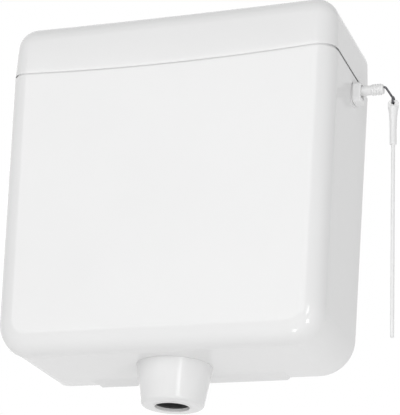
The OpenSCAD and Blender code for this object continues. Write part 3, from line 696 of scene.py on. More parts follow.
def across(tub, inset, fall, row, k):
    """A line of points from the left wall to the right one, bowed like the mouth."""
    right = tub.wall(inset, fall, row, k)
    bow = 1 - row / ROWS
    points = []
    for c in range(FLOOR_COLUMNS + 1):
        x = right.x * (2 * c / FLOOR_COLUMNS - 1)
        h = right.z + (tub.height(x) - tub.height(right.x)) * bow
        lean = tub.front(h) - tub.front(right.z) if k == STATIONS else 0
        points.append(Vector((x, right.y - lean, h)))
    return points


def mouth_loop(tub, at_side, at_front):
    """The closed line round the mouth: an inset and a fall at the sides, and another in front."""
    right = []
    for k in range(STATIONS + 1):
        share = max(k - BACK_STEPS - WALL_STEPS, 0) / EDGE_STEPS
        share = share * share * (3 - 2 * share)
        inset, fall = (a + (b - a) * share for a, b in zip(at_side, at_front))
        right.append(tub.wall(inset, fall, 0, k))
    front = across(tub, *at_front, 0, STATIONS)
    back = across(tub, *at_side, 0, 0)
    return back + right[1:-1] + front[::-1] + [mirrored(p) for p in right[-2:0:-1]]


def moulded_tub(tub, rim, front_rim):
    """A closed shell: outer sheet, inner sheet and a rim given as pairs of inset and fall."""
    bm = bmesh.new()
    for inset, fall in (rim[0], rim[-1]):
        walls = [[tub.wall(inset, fall, row, k) for k in range(STATIONS + 1)]
                 for row in range(ROWS + 1)]
        grid(bm, walls)
        grid(bm, [[mirrored(p) for p in line] for line in walls])
        grid(bm, [across(tub, inset, fall, ROWS, k) for k in range(STATIONS + 1)])
        for k in (0, STATIONS):
            grid(bm, [across(tub, inset, fall, row, k) for row in range(ROWS + 1)])
    grid(bm, [mouth_loop(tub, *pairs) for pairs in zip(rim, front_rim)], closed=True)
    return joined(bm)


print("tub form:", ROWS, "rows and", STATIONS, "stations")

# %% [markdown]
# The tank's sizes come from its node's box: its width and depth at the rim, and the rim's height
# at the ends. The rim sags towards its middle along one large arc, which gives the seam its bow.
# Along the sides a small step in the rim makes the seam a deep groove with a dark shadow. Along the
# front both edges are only rounded, so the seam there is a soft, shallow line.

# %% Tank shell
tank_low, tank_high = span("tank")
cover_low, cover_high = span("cover")
WALL, RIM_DIP = 3.2, 5.6
SIDE_DRAFT, FRONT_DRAFT = 6.0, 10.0
CORNER, EDGE = 35.0, 22.0
rim_half = (tank_high.x - tank_low.x) / 2
rim_ends = tank_high.z
rim_arc = rim_half**2 / (2 * RIM_DIP) + RIM_DIP / 2


def rim_at(x):
    """Height of the tank's bowed rim."""
    return rim_ends - RIM_DIP + rim_arc - math.sqrt(rim_arc**2 - x**2)


side_lean = SIDE_DRAFT / (rim_ends - CORNER)
front_lean = FRONT_DRAFT / (rim_ends - EDGE)
tank_form = Tub(rim_half - SIDE_DRAFT, side_lean, -tank_low.y - FRONT_DRAFT, front_lean,
                CORNER, EDGE, EDGE, rim_at)
STEP_HIGH, STEP_DEEP = 1.5, 1.6
TANK_RIM = [
    (0, STEP_HIGH + 0.9), (0.15, STEP_HIGH + 0.25), (0.4, STEP_HIGH), (STEP_DEEP, STEP_HIGH),
    (STEP_DEEP, 0.2), (STEP_DEEP + 0.2, 0), (WALL - 0.5, 0), (WALL, 0.5),
]
TANK_FRONT_RIM = [
    (0, STEP_HIGH + 0.9), (0.08, 1.4), (0.2, 0.8), (0.35, 0.4), (0.5, 0.15), (0.6, 0),
    (WALL - 0.5, 0), (WALL, 0.5),
]
tank_shell = moulded_tub(tank_form, TANK_RIM, TANK_FRONT_RIM)
print("tank:", round(2 * rim_half), "wide,", round(-tank_low.y), "deep,", round(rim_ends), "high")

# %% [markdown]
# Openings are cut with exact booleans: a round hole in the floor for the outlet, a squared one
# in the right wall for the lever's bush, a round one in the left wall for the inlet, and two in
# the back to hang it by. The bush and the inlet nut sit in shallow flat seats, so that they bear
# evenly on a leaning wall. A long low rib stiffens the floor along the wall. Its front is a gentle
# ramp, so it takes the same light as the floor.

# %% Tank openings
bush_low, bush_high = span("lever_bush")
lock_low, lock_high = span("bush_lock")
mech = middle("outlet_nut").y
BUSH_OUT, BUSH_CORNER = 9.5, 4.0
SHADOW_GAP, SILL_TRIM = 1.0, 2.4
NECK_IN, NECK_ROOM = 1.0, 0.4
OUTLET_HOLE, INLET_HOLE, SEAT_ROOM = 24.3, 10.9, 1.0
HANG_X, HANG_R = 100.0, 4.5
PAST, OVER = 20.0, 1.0
CORNER_STEPS, SOFT_STEPS = 6, 4
hang_z = -floor_z * MM
bush_seat = bush_high.x - BUSH_OUT
bush_mid = (bush_low.z + bush_high.z) / 2
bush_w, bush_h = bush_high.y - bush_low.y, bush_high.z - bush_low.z
collar_mid, collar_h = bush_mid + SILL_TRIM / 2, bush_h - SILL_TRIM
neck_w, neck_h = bush_w - 2 * NECK_IN, bush_h - 2 * NECK_IN


def squared_bar(start, end, level, width, height, corner, soft=0.0):
    """A bar along X with a rounded rectangular section, softened at its far end."""
    w, h = width / 2, height / 2
    section = rounded([(-w, -h), (w, -h), (w, h), (-w, h)], corner, CORNER_STEPS)
    ahead = soft if end > start else -soft
    layers = [(start, 0.0), (end - ahead, 0.0)]
    if soft:
        for a in (math.pi / 2 * k / SOFT_STEPS for k in range(1, SOFT_STEPS + 1)):
            layers.append((end - ahead * (1 - math.sin(a)), soft * (1 - math.cos(a))))
    return loft([[Vector((x, mech + p.x * (w - inset) / w, level + p.y * (h - inset) / h))
                  for p in section] for x, inset in layers])


inlet_mid = middle("inlet_backnut")
backnut_r, _, inlet_seat = lying("inlet_backnut")
inlet_axis = at(inlet_seat, inlet_mid.y, inlet_mid.z, ALONG_X)
cutters = [
    squared_bar(bush_seat, bush_seat + PAST, collar_mid, bush_w + SHADOW_GAP, collar_h + SHADOW_GAP,
                BUSH_CORNER + SHADOW_GAP / 2),
    squared_bar(bush_seat - PAST, bush_seat + OVER, bush_mid, neck_w + NECK_ROOM, neck_h + NECK_ROOM,
                BUSH_CORNER - NECK_IN),
    bar(along(inlet_axis, -PAST), backnut_r + SEAT_ROOM, PAST, 0),
    bar(along(inlet_axis, -OVER), INLET_HOLE, PAST, 0),
    bar(at(0, mech, -PAST), OUTLET_HOLE, 2 * PAST, 0, 96),
]
cutters += [bar(at(side * HANG_X, -PAST / 2, hang_z, ALONG_Y), HANG_R, PAST, 0) for side in (-1, 1)]

RIB_HALF, RIB_DEEP, RIB_RAMP, RIB_END = 98.0, 3.0, 12.0, 3.0
RIB_BACK, RIB_SUNK = -0.05, 0.1
rows = []
for z, out in ((WALL / 2, 1), (RIB_SUNK, 1), (tank_low.z, 0)):
    x, y = RIB_HALF + out * RIB_END, -RIB_DEEP - out * RIB_RAMP
    rows.append([Vector(p) for p in ((-x, RIB_BACK, z), (-x, y, z), (x, y, z), (x, RIB_BACK, z))])
rib = loft(rows)
PAD_DEEP, PAD_RIM = 1.6, 1.0
lock_w, lock_h = lock_high.y - lock_low.y, lock_high.z - lock_low.z
bush_pad = squared_bar(lock_high.x, lock_high.x + PAD_DEEP + OVER, bush_mid, lock_w + 2 * PAD_RIM,
                       lock_h + 2 * PAD_RIM, BUSH_CORNER)
washer_r, washer_near, washer_far = lying("inlet_washer")
washer_axis = at(washer_near, inlet_mid.y, inlet_mid.z, ALONG_X)
inlet_pad = bar(along(washer_axis, -PAD_DEEP - OVER), washer_r + PAD_RIM, PAD_DEEP + OVER, 0)
tank_shell = combined(tank_shell, [rib, bush_pad, inlet_pad], "UNION")
piece("tank_shell", combined(tank_shell, cutters, "DIFFERENCE"), "tank")

# %% [markdown]
# The cover is the same tub turned over. Along the sides its outer wall ends in a thin skirt with a
# slot behind it, which makes the seam dark where one looks up into it. A ledge behind the slot
# rests on the rim, and two lips hang inside the tank and keep the cover from sliding. The top sags
# a little between its ends, as a large thin moulding does.

# %% Cover shell
COVER_DRAFT, COVER_CORNER, COVER_EDGE = 1.0, 23.0, 20.0
SEAM_HIGH, SKIRT, SLOT_END, SLOT_TOP = 1.6, 0.8, 2.2, 6.0
EDGE_HIGH, SEAT_GAP, TOP_SAG = 3.0, 0.3, 1.3
LEDGE_IN, LEDGE_HIGH, LEDGE_SOFT = 6.32, 6.0, 0.4
LIP_HALF, LIP_THICK, LIP_SOFT = 140.5, 2.2, 0.5
cover_top = cover_high.z


def cover_mouth(x):
    """Distance from the cover's top down to the tank's rim."""
    return cover_top - rim_at(x)


cover_lean = COVER_DRAFT / (cover_mouth(0) - COVER_CORNER)
cover_form = Tub(rim_half - COVER_DRAFT, cover_lean, -tank_low.y - COVER_DRAFT, cover_lean,
                 COVER_CORNER, COVER_EDGE, EDGE, cover_mouth)
LEDGE = [(LEDGE_IN - LEDGE_SOFT, SEAT_GAP), (LEDGE_IN, SEAT_GAP + LEDGE_SOFT), (LEDGE_IN, LEDGE_HIGH),
         (WALL, LEDGE_HIGH + OVER)]
COVER_RIM = [
    (0, EDGE_HIGH), (0.05, SEAM_HIGH + 0.2), (0.3, SEAM_HIGH), (SKIRT, SEAM_HIGH), (SKIRT, SLOT_TOP),
    (SLOT_END, SLOT_TOP), (SLOT_END, SEAT_GAP + LEDGE_SOFT), (SLOT_END + LEDGE_SOFT, SEAT_GAP), *LEDGE,
]
COVER_FRONT_RIM = [
    (0, EDGE_HIGH), (0.09, 2.1), (0.24, 1.4), (0.42, 0.9), (0.56, 0.6), (0.68, 0.44), (0.8, 0.34),
    (1.0, SEAT_GAP), *LEDGE,
]
cover_shell = moulded_tub(cover_form, COVER_RIM, COVER_FRONT_RIM)
turned_over = Matrix.Translation((0, 0, cover_top)) @ Matrix.Diagonal((1, 1, -1, 1))
bmesh.ops.transform(cover_shell, matrix=turned_over, verts=cover_shell.verts)
bmesh.ops.recalc_face_normals(cover_shell, faces=cover_shell.faces)
sag_start = rim_ends + LEDGE_HIGH
for v in cover_shell.verts:
    share = max(v.co.z - sag_start, 0) / (cover_top - sag_start)
    v.co.z -= TOP_SAG * share * (1 - (v.co.x / rim_half) ** 2)
lip_high = rim_ends + LEDGE_HIGH / 2
lips = [block((-LIP_HALF, y, cover_low.z), (LIP_HALF, y + LIP_THICK, lip_high), LIP_SOFT)
        for y in (-LEDGE_IN, tank_low.y + LEDGE_IN - LIP_THICK)]
piece("cover_shell", combined(cover_shell, lips, "UNION"), "cover")

# %% [markdown]
# The outlet nut is a cone under the floor: its straight side leans in, then rounds into a flat
# underside. A thin rolled lip stands around its hole. It is a turned piece, so its profile is
# written point by point: down the outside, round the lip, and back up through the bore.

# %% Outlet nut
nut_r, nut_low, _ = upright("outlet_nut")
NUT_LIP, ROLL_R, ROLL_REST = 1.2, 0.75, 0.5
NUT_LEAN, NUT_ROUND, NUT_EDGE = math.radians(10), 4.0, 0.15
NUT_HOLE, NUT_BORE, NUT_CAVITY = 17.0, 24.05, 31.4
NUT_FLOOR, BORE_START, CAVITY_HIGH, CAVITY_FLARE = 3.0, 1.0, 10.0, 1.0
ARC_STEPS = 10
nut_flat = nut_low + NUT_LIP
side_high = -nut_flat - NUT_ROUND * (1 - math.sin(NUT_LEAN))
low_r = nut_r - side_high * math.tan(NUT_LEAN)
edge_centre = low_r - NUT_ROUND * math.cos(NUT_LEAN)


def on_outlet(name, profile, node, steps=96):
    """A piece turned about the outlet's upright axis, in place of a node."""
    piece(name, turned(profile, steps, at(0, mech, 0)), node)


nut_side = [(NUT_CAVITY + 2 * CAVITY_FLARE, 0, 0), (nut_r, 0), (low_r, -side_high, 0)]
profile = rounded(nut_side, NUT_EDGE)[:-1]
profile += arc(edge_centre, nut_flat + NUT_ROUND, NUT_ROUND, -NUT_LEAN, -math.pi / 2, ARC_STEPS)
profile.append(Vector((NUT_HOLE + 2 * ROLL_R + ROLL_REST, nut_flat)))
profile += arc(NUT_HOLE + ROLL_R, nut_flat, ROLL_R, 0, -math.pi, ARC_STEPS)
profile += rounded([(NUT_HOLE, nut_flat + BORE_START, 0), (NUT_HOLE, nut_flat + NUT_FLOOR),
                    (NUT_BORE, nut_flat + NUT_FLOOR, 0), (NUT_BORE, -CAVITY_HIGH),
                    (NUT_CAVITY, -CAVITY_HIGH, 0), (NUT_CAVITY, -CAVITY_FLARE, 0),
                    (NUT_CAVITY + CAVITY_FLARE, 0, 0)], 0.5)
on_outlet("outlet_cone_nut", profile, "outlet_nut", 128)

# %% [markdown]
# Inside that opening the photograph shows only darkness and the edge of a rubber seal. The seal
# is a ring with a rounded inner lip that grips the flush pipe.

# %% Pipe seal
seal_r, seal_low, seal_high = upright("pipe_seal")
SEAL_IN, SEAL_WAIST, SEAL_BACK, SEAL_LIP = 16.8, 18.0, 19.0, 4.0
profile = rounded([(SEAL_IN, seal_low, 1.6), (seal_r, seal_low), (seal_r, seal_high),
                   (SEAL_BACK, seal_high), (SEAL_WAIST, seal_low + SEAL_LIP, 1.0)], 0.5, 6)
on_outlet("pipe_seal_ring", profile, "pipe_seal")

# %% [markdown]
# The lever's bush is a squared collar that snaps into the right wall. The lever leaves through
# an upright slot, tall enough for it to rock. A soft front edge, and an undercut where the collar
# meets the wall, give the dark outline that the photograph shows.

# %% Lever bush
SLOT_WIDE, SLOT_LOW, SLOT_HIGH, TOP_ROOM = 10.8, 267.932, 282.6, 0.4
COLLAR_SOFT, UNDERCUT, UNDERCUT_IN = 1.2, 1.5, 1.4
PRESS_FIT, TURN_FIT, PIN_RIM = 0.03, 0.05, 1.0
pin_mid = middle("lever_pin")
pin_r = upright("lever_pin")[0] - PIN_RIM
lever_z = pin_mid.z
slot_near, slot_far = mech - SLOT_WIDE / 2, mech + SLOT_WIDE / 2
collar = squared_bar(bush_seat + UNDERCUT, bush_high.x, collar_mid, bush_w, collar_h, BUSH_CORNER,
                     COLLAR_SOFT)
root = squared_bar(bush_seat, bush_seat + UNDERCUT + OVER, collar_mid, bush_w - 2 * UNDERCUT_IN,
                   collar_h - 2 * UNDERCUT_IN, BUSH_CORNER - UNDERCUT_IN)
neck = squared_bar(bush_low.x, bush_seat + OVER, bush_mid, neck_w, neck_h, BUSH_CORNER - NECK_IN)
slot = block((bush_low.x - OVER, slot_near, SLOT_LOW), (bush_high.x + OVER, slot_far, SLOT_HIGH))
open_top = block((bush_low.x - OVER, slot_near, SLOT_LOW + OVER),
                 (lock_low.x - TOP_ROOM, slot_far, bush_high.z + OVER))


def pin_hole(x, y, z, radius, reach=PAST):
    """A cutter for a hole along Y that reaches as far to both sides of a point."""
    return bar(at(x, y - reach, z, ALONG_Y), radius, 2 * reach, 0)


bush_hole = pin_hole(pin_mid.x, mech, lever_z, pin_r + PRESS_FIT)
bush = combined(combined(collar, [root, neck], "UNION"), [slot, open_top, bush_hole], "DIFFERENCE")
piece("lever_collar", bush, "lever_bush")

# %% [markdown]
# The lever is one moulding: a round arm outside, a hub on the pivot pin, and a square stub inside
# that takes the lift arm. The arm is turned about its own axis, and the rest is joined to it.

# %% Flush lever
lever_low, lever_high = span("flush_lever")
hook_low, hook_high = span("pull_hook")
screw_mid = middle("arm_screw")
ARM_R, ARM_SOFT, HUB_R, STUB_SOFT = 5.0, 1.4, 5.5, 0.6
WIRE_R, WIRE_ROOM, SHANK_RISE, SHANK_GAP = 1.1, 0.15, 2.2, 0.3
TENON_LONG, TENON_W, TENON_H, SCREW_R = 11.0, 4.4, 6.0, 1.4
arm_long = lever_high.x - pin_mid.x
shank_z = lever_z + SHANK_RISE
profile = rounded([(0, 0, 0), (ARM_R, 0, 0), (ARM_R, arm_long), (0, arm_long, 0)], ARM_SOFT, 6)
arm = turned(profile, 64, at(pin_mid.x, mech, lever_z, ALONG_X))
hub = bar(at(pin_mid.x, mech - ARM_R, lever_z, ALONG_Y), HUB_R, 2 * ARM_R, 0.5, 64)


def square_bar(start, end, w, h, soft=0.0):
    """A bar along X on the lever's axis, half w wide and half h high."""
    return block((start, mech - w, lever_z - h), (end, mech + w, lever_z + h), soft)


stub = square_bar(lever_low.x, pin_mid.x, ARM_R, ARM_R, STUB_SOFT)
socket = square_bar(lever_low.x - OVER, lever_low.x + TENON_LONG + PRESS_FIT, TENON_W / 2 + PRESS_FIT,
                    TENON_H / 2 + PRESS_FIT)
screw_hole = bar(at(screw_mid.x, mech, lever_z), SCREW_R + PRESS_FIT, 2 * ARM_R, 0, 24)
pivot_hole = pin_hole(pin_mid.x, mech, lever_z, pin_r + TURN_FIT)
wire_hole = bar(at(hook_low.x - SHANK_GAP, mech, shank_z, ALONG_X), WIRE_R + WIRE_ROOM, PAST, 0, 24)
lever = combined(arm, [hub, stub], "UNION")
lever = combined(lever, [socket, screw_hole, pivot_hole, wire_hole], "DIFFERENCE")
piece("lever_arm", lever, "flush_lever")

# %% [markdown]
# The grip near the arm's end has a few raised rings. They repeat at one pitch, so Geometry Nodes
# make them: a line of points along X, one softened ring instanced on each, realised at the end so
# that the result is a plain mesh. The tree can also turn each copy a step further than the one
# before, for things that stand round an axis.

# %% Geometry Nodes helpers
NOTHING = (0.0, 0.0, 0.0)
TOOL_INPUTS = {
    "Count": "NodeSocketInt", "Start": "NodeSocketVector", "Step": "NodeSocketVector",
    "Turn": "NodeSocketVector", "Shape": "NodeSocketObject", "Finish": "NodeSocketMaterial",
}


def repeat_tool(name):
    """A tree that repeats an object, with each copy moved and turned a step further."""
    tree = bpy.data.node_groups.new(name, "GeometryNodeTree")
    tree.interface.new_socket("Geometry", in_out="OUTPUT", socket_type="NodeSocketGeometry")
    for label, kind in TOOL_INPUTS.items():
        tree.interface.new_socket(label, in_out="INPUT", socket_type=kind)
    given = add_node(tree, "NodeGroupInput")
    line = add_node(tree, "GeometryNodeMeshLine", mode="OFFSET")
    index = add_node(tree, "GeometryNodeInputIndex")
    angle = add_node(tree, "ShaderNodeVectorMath", operation="SCALE")
    shape = add_node(tree, "GeometryNodeObjectInfo", transform_space="ORIGINAL")
    copies = add_node(tree, "GeometryNodeInstanceOnPoints")
    real = add_node(tree, "GeometryNodeRealizeInstances")
    finish = add_node(tree, "GeometryNodeSetMaterial")
    result = add_node(tree, "NodeGroupOutput")
    links(tree,
          (given, "Count", line, "Count"),
          (given, "Start", line, "Start Location"),
          (given, "Step", line, "Offset"),
          (given, "Turn", angle, "Vector"),
          (index, 0, angle, "Scale"),
          (given, "Shape", shape, "Object"),
          (line, 0, copies, "Points"),
          (shape, "Geometry", copies, "Instance"),
          (angle, 0, copies, "Rotation"),
          (copies, 0, real, 0),
          (real, 0, finish, "Geometry"),
          (given, "Finish", finish, "Material"),
          (finish, 0, result, 0))
    return tree


def repeated(name, bm, slot, count, start, step=NOTHING, turn=NOTHING):
    """Copies of a mesh, made by such a tree with its inputs set by identifier, as a plain mesh."""
    shape = bpy.data.objects.new(name, mesh_of(name, bm))
    maker = in_scene("maker", bpy.data.meshes.new("maker"))
    run = maker.modifiers.new("repeat", "NODES")
    run.node_group = repeat_tool(name)
    values = {"Count": count, "Start": start, "Step": step, "Turn": turn, "Shape": shape,
              "Finish": finishes[slot]}
    for socket in run.node_group.interface.items_tree:
        if socket.in_out == "INPUT":
            run[socket.identifier] = values[socket.name]
    copies = evaluated(maker)
    maker.modifiers.remove(run)
    for mesh in (maker.data, shape.data):
        bpy.data.meshes.remove(mesh)
    return copies


print("repeat tool ready")

# %% Grip rings
RING_COUNT, RING_PITCH, RING_THICK, RING_END = 4, 2.6, 1.5, 1.2
RING_PROUD, RING_SUNK, RING_SOFT = 0.8, 0.4, 0.45
ring_in, ring_out = ARM_R - RING_SUNK, ARM_R + RING_PROUD
profile = rounded([(ring_in, 0, 0), (ring_out, 0), (ring_out, RING_THICK), (ring_in, RING_THICK, 0)],
                  RING_SOFT)
first_ring = lever_high.x - RING_END - RING_COUNT * RING_PITCH
grip = repeated("grip_rings", turned(profile, 64, ALONG_X), "lever_plastic", RING_COUNT,
                (first_ring, mech, lever_z), step=(RING_PITCH, 0.0, 0.0))
piece("lever_grip", grip, body="lever", slot="lever_plastic")

# %% [markdown]
# The hook is one piece of dark steel wire. It sits in the arm's end, bends down and closes into
# an eye that carries the pull. A curve with a round bevel follows the wire's middle line.

# %% Pull hook
def wire(points, radius, resolution=6):
    """A round wire along a line of points, with closed ends, as a mesh."""
    curve = bpy.data.curves.new("wire", "CURVE")
    curve.dimensions = "3D"
    curve.bevel_depth = radius
    curve.bevel_resolution = resolution
    curve.use_fill_caps = True
    spline = curve.splines.new("POLY")
    spline.points.add(len(points) - 1)
    for knot, p in zip(spline.points, points):
        knot.co = (*p, 1)
    bm = evaluated(in_scene("wire", curve))
    bpy.data.curves.remove(curve)
    return joined(bm)


EYE_R, EYE_SWELL, EYE_STEPS, EYE_GAP = 3.4, 0.1, 40, math.radians(28)
BEND, BEND_OUT, EYE_BEND, EYE_RISE, BEND_STEPS = 3.0, 1.6, 2.5, 2.2, 10
eye_x = hook_high.x - WIRE_R - EYE_SWELL
eye_z = hook_low.z + EYE_R + WIRE_R + EYE_SWELL
down_to_eye = rounded(
    [(hook_low.x, mech, shank_z), (lever_high.x + BEND_OUT, mech, shank_z, BEND),
     (eye_x, mech + EYE_R, eye_z + EYE_RISE, EYE_BEND), (eye_x, mech + EYE_R, eye_z)],
    BEND, BEND_STEPS, closed=False)
around = arc(mech, eye_z, EYE_R, 0, EYE_GAP - 2 * math.pi, EYE_STEPS)
eye = [Vector((eye_x, p.x, p.y)) for p in around[1:]]
piece("pull_hook_wire", wire(down_to_eye + eye, WIRE_R), "pull_hook")

# %% [markdown]
# Below the hook hang the ferrule, a flared plastic end with a flat tab for the eye, and the thin
# rod pressed into it. The pull hangs slightly out of line with the tank, so both are turned about
# an axis that leans a little, with heights counted from the eye's lowest point.

# %% Pull ferrule and rod
PULL_LEAN = math.radians(0.8)
FERRULE_LONG, FERRULE_TOP, ROD_IN, ROD_R = 44.0, 5.2, 16.0, 1.9
FLARE = [(4.45, 5.0), (3.95, 10.0), (3.65, 16.0), (3.4, 26.0)]
FLARE_SOFT, FERRULE_RISE, EYE_ROOM = 9.0, 0.6, 0.8
TAB_THICK, TAB_DOWN, TAB_UP, TAB_SUNK, TAB_CORNER = 2.98, 4.0, 3.2, 1.5, 2.6
TAB_LAYERS = [(-0.5, 0.35), (-0.38, 0.0), (0.38, 0.0), (0.5, 0.35)]
pull_z = eye_z - EYE_R
pull_axis = at(eye_x, mech, pull_z, Matrix.Rotation(-PULL_LEAN, 4, "Y"))
profile = [(0, -FERRULE_LONG, 0), (FLARE[-1][0], -FERRULE_LONG, 0.8)]
profile += [(r, -TAB_DOWN - down, FLARE_SOFT) for r, down in reversed(FLARE)]
profile += [(FERRULE_TOP, -TAB_DOWN, 1.2), (0, FERRULE_RISE - TAB_DOWN, 0)]
taper = turned(rounded(profile, 0, 6), 64, pull_axis)
tab_low = -TAB_DOWN - TAB_SUNK
tab_mid = (TAB_UP + tab_low) / 2
tab_ring = rounded([(-FERRULE_TOP, tab_low, 0), (FERRULE_TOP, tab_low, 0), (FERRULE_TOP, TAB_UP),
                    (-FERRULE_TOP, TAB_UP)], TAB_CORNER, 6)
rows = []
for share, inset in TAB_LAYERS:
    scale = 1 - inset / FERRULE_TOP
    rows.append([pull_axis @ Vector((p.x * scale, share * TAB_THICK, tab_mid + (p.y - tab_mid) * scale))
                 for p in tab_ring])
eye_hole = bar(pull_axis @ at(0, -PAST, 0, ALONG_Y), WIRE_R + EYE_ROOM, 2 * PAST, 0, 32)
rod_hole = bar(along(pull_axis, -FERRULE_LONG - OVER), ROD_R + PRESS_FIT, ROD_IN + OVER, 0)
ferrule = combined(combined(taper, [loft(rows)], "UNION"), [eye_hole, rod_hole], "DIFFERENCE")
piece("pull_end", ferrule, "pull_ferrule")

rod_reach = (pull_z - span("pull_rod")[0].z) / math.cos(PULL_LEAN)
rod_top = ROD_IN - FERRULE_LONG
profile = rounded([(0, -rod_reach, 0), (ROD_R, -rod_reach, 1.5), (ROD_R, rod_top), (0, rod_top, 0)],
                  0.5, 6)
piece("pull_stick", turned(profile, 40, pull_axis), "pull_rod")

# %% [markdown]
# The pieces inside the tank show once the cover is off. A plate behind the wall locks the bush,
# a steel pin carries the lever, and a flat arm with a tenon, held by one screw, reaches from the
# lever to the valve in the middle.

# %% Lock plate, pin, lift arm and screw
LOCK_RIM, LOCK_SOFT = 4.0, 0.6
plate = squared_bar(lock_high.x, lock_low.x, bush_mid, bush_w + 2 * LOCK_RIM, bush_h + 2 * LOCK_RIM,
                    BUSH_CORNER, LOCK_SOFT)
plate_hole = squared_bar(lock_low.x - OVER, lock_high.x + OVER, bush_mid, neck_w + 2 * PRESS_FIT,
                         neck_h + 2 * PRESS_FIT, BUSH_CORNER - NECK_IN)
piece("bush_plate", combined(plate, [plate_hole], "DIFFERENCE"), "bush_lock")

pin_low, pin_high = span("lever_pin")
PIN_HEAD = 1.4
pin_long = pin_high.y - pin_low.y
profile = rounded([(0, 0, 0), (pin_r + PIN_RIM, 0), (pin_r + PIN_RIM, PIN_HEAD), (pin_r, PIN_HEAD, 0),
                   (pin_r, pin_long), (0, pin_long, 0)], 0.4)
piece("lever_pivot", turned(profile, 48, at(pin_mid.x, pin_low.y, lever_z, ALONG_Y)), "lever_pin")

lift_low, lift_high = span("lift_arm")
strip = block(lift_low, (lever_low.x, lift_high.y, lift_high.z), 0.8)
tenon = square_bar(lever_low.x - OVER, lift_high.x, TENON_W / 2, TENON_H / 2, 0.3)
lift_hole = bar(at(screw_mid.x, mech, lever_z - 2 * TENON_H), SCREW_R + PRESS_FIT, 4 * TENON_H, 0, 24)
piece("lift_lever", combined(combined(strip, [tenon], "UNION"), [lift_hole], "DIFFERENCE"), "lift_arm")

head_r, screw_low, screw_high = upright("arm_screw")
SCREW_HEAD, CROSS_WIDE, CROSS_LONG, CROSS_DEEP = 1.8, 0.8, 3.0, 1.0
head_low = screw_high - SCREW_HEAD
profile = rounded([(0, screw_low, 0), (SCREW_R, screw_low), (SCREW_R, head_low, 0), (head_r, head_low, 0.2),
                   (head_r, screw_high, 1.0), (0, screw_high, 0)], 0.4, 6)
cross = [block((screw_mid.x - wide / 2, mech - deep / 2, screw_high - CROSS_DEEP),
               (screw_mid.x + wide / 2, mech + deep / 2, screw_high + OVER))
         for wide, deep in ((CROSS_WIDE, CROSS_LONG), (CROSS_LONG, CROSS_WIDE))]
screw = combined(turned(profile, 40, at(screw_mid.x, mech, 0)), cross, "DIFFERENCE")
piece("clamp_screw", screw, "arm_screw")

# %% [markdown]
# The outlet is a stack of turned pieces on one axis: the body with its raised seat, a gasket under
# its flange, the stem that is also the overflow, a bell that traps air, and the rubber disc that
# closes the seat. Each one is a rounded profile with the radii of its node.

# %% Outlet and valve
_, tail_low, seat_high = upright("outlet_body")
FLANGE_R, FLANGE_LOW, FLANGE_HIGH = 36.0, 6.2, 10.2
THROAT_R, SEAT_R, TAIL_R, SOCKET_R, STOP_R = 21.5, 27.0, 23.9, 16.3, 14.8
SOCKET_LONG, STOP_THICK = 23.0, 2.0
stop_low = tail_low + SOCKET_LONG
stop_high = stop_low + STOP_THICK
profile = rounded([(THROAT_R, seat_high, 0.8), (SEAT_R, seat_high, 1.2), (SEAT_R, FLANGE_HIGH, 1.5),
                   (FLANGE_R, FLANGE_HIGH, 1.0), (FLANGE_R, FLANGE_LOW), (TAIL_R, FLANGE_LOW, 0),
                   (TAIL_R, tail_low, 0.8), (SOCKET_R, tail_low, 0.6), (SOCKET_R, stop_low),
                   (STOP_R, stop_low), (STOP_R, stop_high), (THROAT_R, stop_high)], 0.4)
on_outlet("outlet_seat", profile, "outlet_body")

gasket_r, gasket_low, gasket_high = upright("outlet_gasket")
GASKET_ROOM = 0.3
profile = ring(TAIL_R + GASKET_ROOM, gasket_r, gasket_low, gasket_high, 0.7)
on_outlet("flange_ring", profile, "outlet_gasket")

stem_r, stem_low, stem_high = upright("overflow_tube")
STEM_WALL = 2.0
stem_in = stem_r - STEM_WALL
profile = rounded([(stem_in, stem_low), (stem_r, stem_low), (stem_r, stem_high, 0.9),
                   (stem_in, stem_high, 0.9)], 0.4)
on_outlet("overflow_stem", profile, "overflow_tube", 64)

bell_r, bell_low, bell_high = upright("bell_float")
BELL_WALL, BELL_COLLAR = 2.0, 3.0
collar_r, bell_in = stem_r + PRESS_FIT, bell_r - BELL_WALL
shoulder = bell_high - (bell_r - collar_r) / 2
profile = rounded([(bell_r, bell_low, 0.7), (bell_r, shoulder, 5.0), (collar_r + BELL_WALL, bell_high, 1.0),
                   (collar_r, bell_high, 0), (collar_r, bell_high - BELL_COLLAR, 0.4),
                   (bell_in, shoulder - BELL_WALL / 2, 4.0), (bell_in, bell_low, 0.7)], 0.5, 8)
on_outlet("valve_bell", profile, "bell_float")

disc_r, disc_low, disc_high = upright("seat_washer")
profile = rounded([(collar_r, disc_low), (disc_r, disc_low, 1.2), (disc_r, disc_high, 0.6),
                   (collar_r, disc_high)], 0.2, 6)
on_outlet("valve_disc", profile, "seat_washer")

# %% [markdown]
# Fins that guide the valve in its throat stand evenly round the foot. The tree that made the grip
# makes them too: all copies sit at one place, and each is turned a step further than the one
# before.

# %% Valve foot with fins
_, foot_low, foot_high = upright("valve_foot")
FINS, FIN_THICK, FIN_GAP, FIN_SUNK, FOOT_WALL = 4, 2.0, 0.5, 1.0, 2.4
fin_top = seat_high - FOOT_WALL
foot_r, cup_r = stem_r + FOOT_WALL, THROAT_R - FOOT_WALL
fin = block((stem_r + FIN_SUNK, -FIN_THICK / 2, foot_low),
            (THROAT_R - FIN_GAP, FIN_THICK / 2, fin_top), 0.5)
fins = repeated("guide_fins", fin, slot_of["valve_foot"], FINS, (0.0, mech, 0.0),
                turn=(0.0, 0.0, 2 * math.pi / FINS))
profile = rounded([(collar_r, foot_low, 0.4), (foot_r, foot_low), (foot_r, fin_top, 0.8), (cup_r, fin_top),
                   (cup_r, foot_high, 0.4), (collar_r, foot_high, 0)], 0.5)
on_outlet("guide_foot", profile, "valve_foot", 64)
piece("guide_fins", fins, body=body_of["valve_foot"], slot=slot_of["valve_foot"])

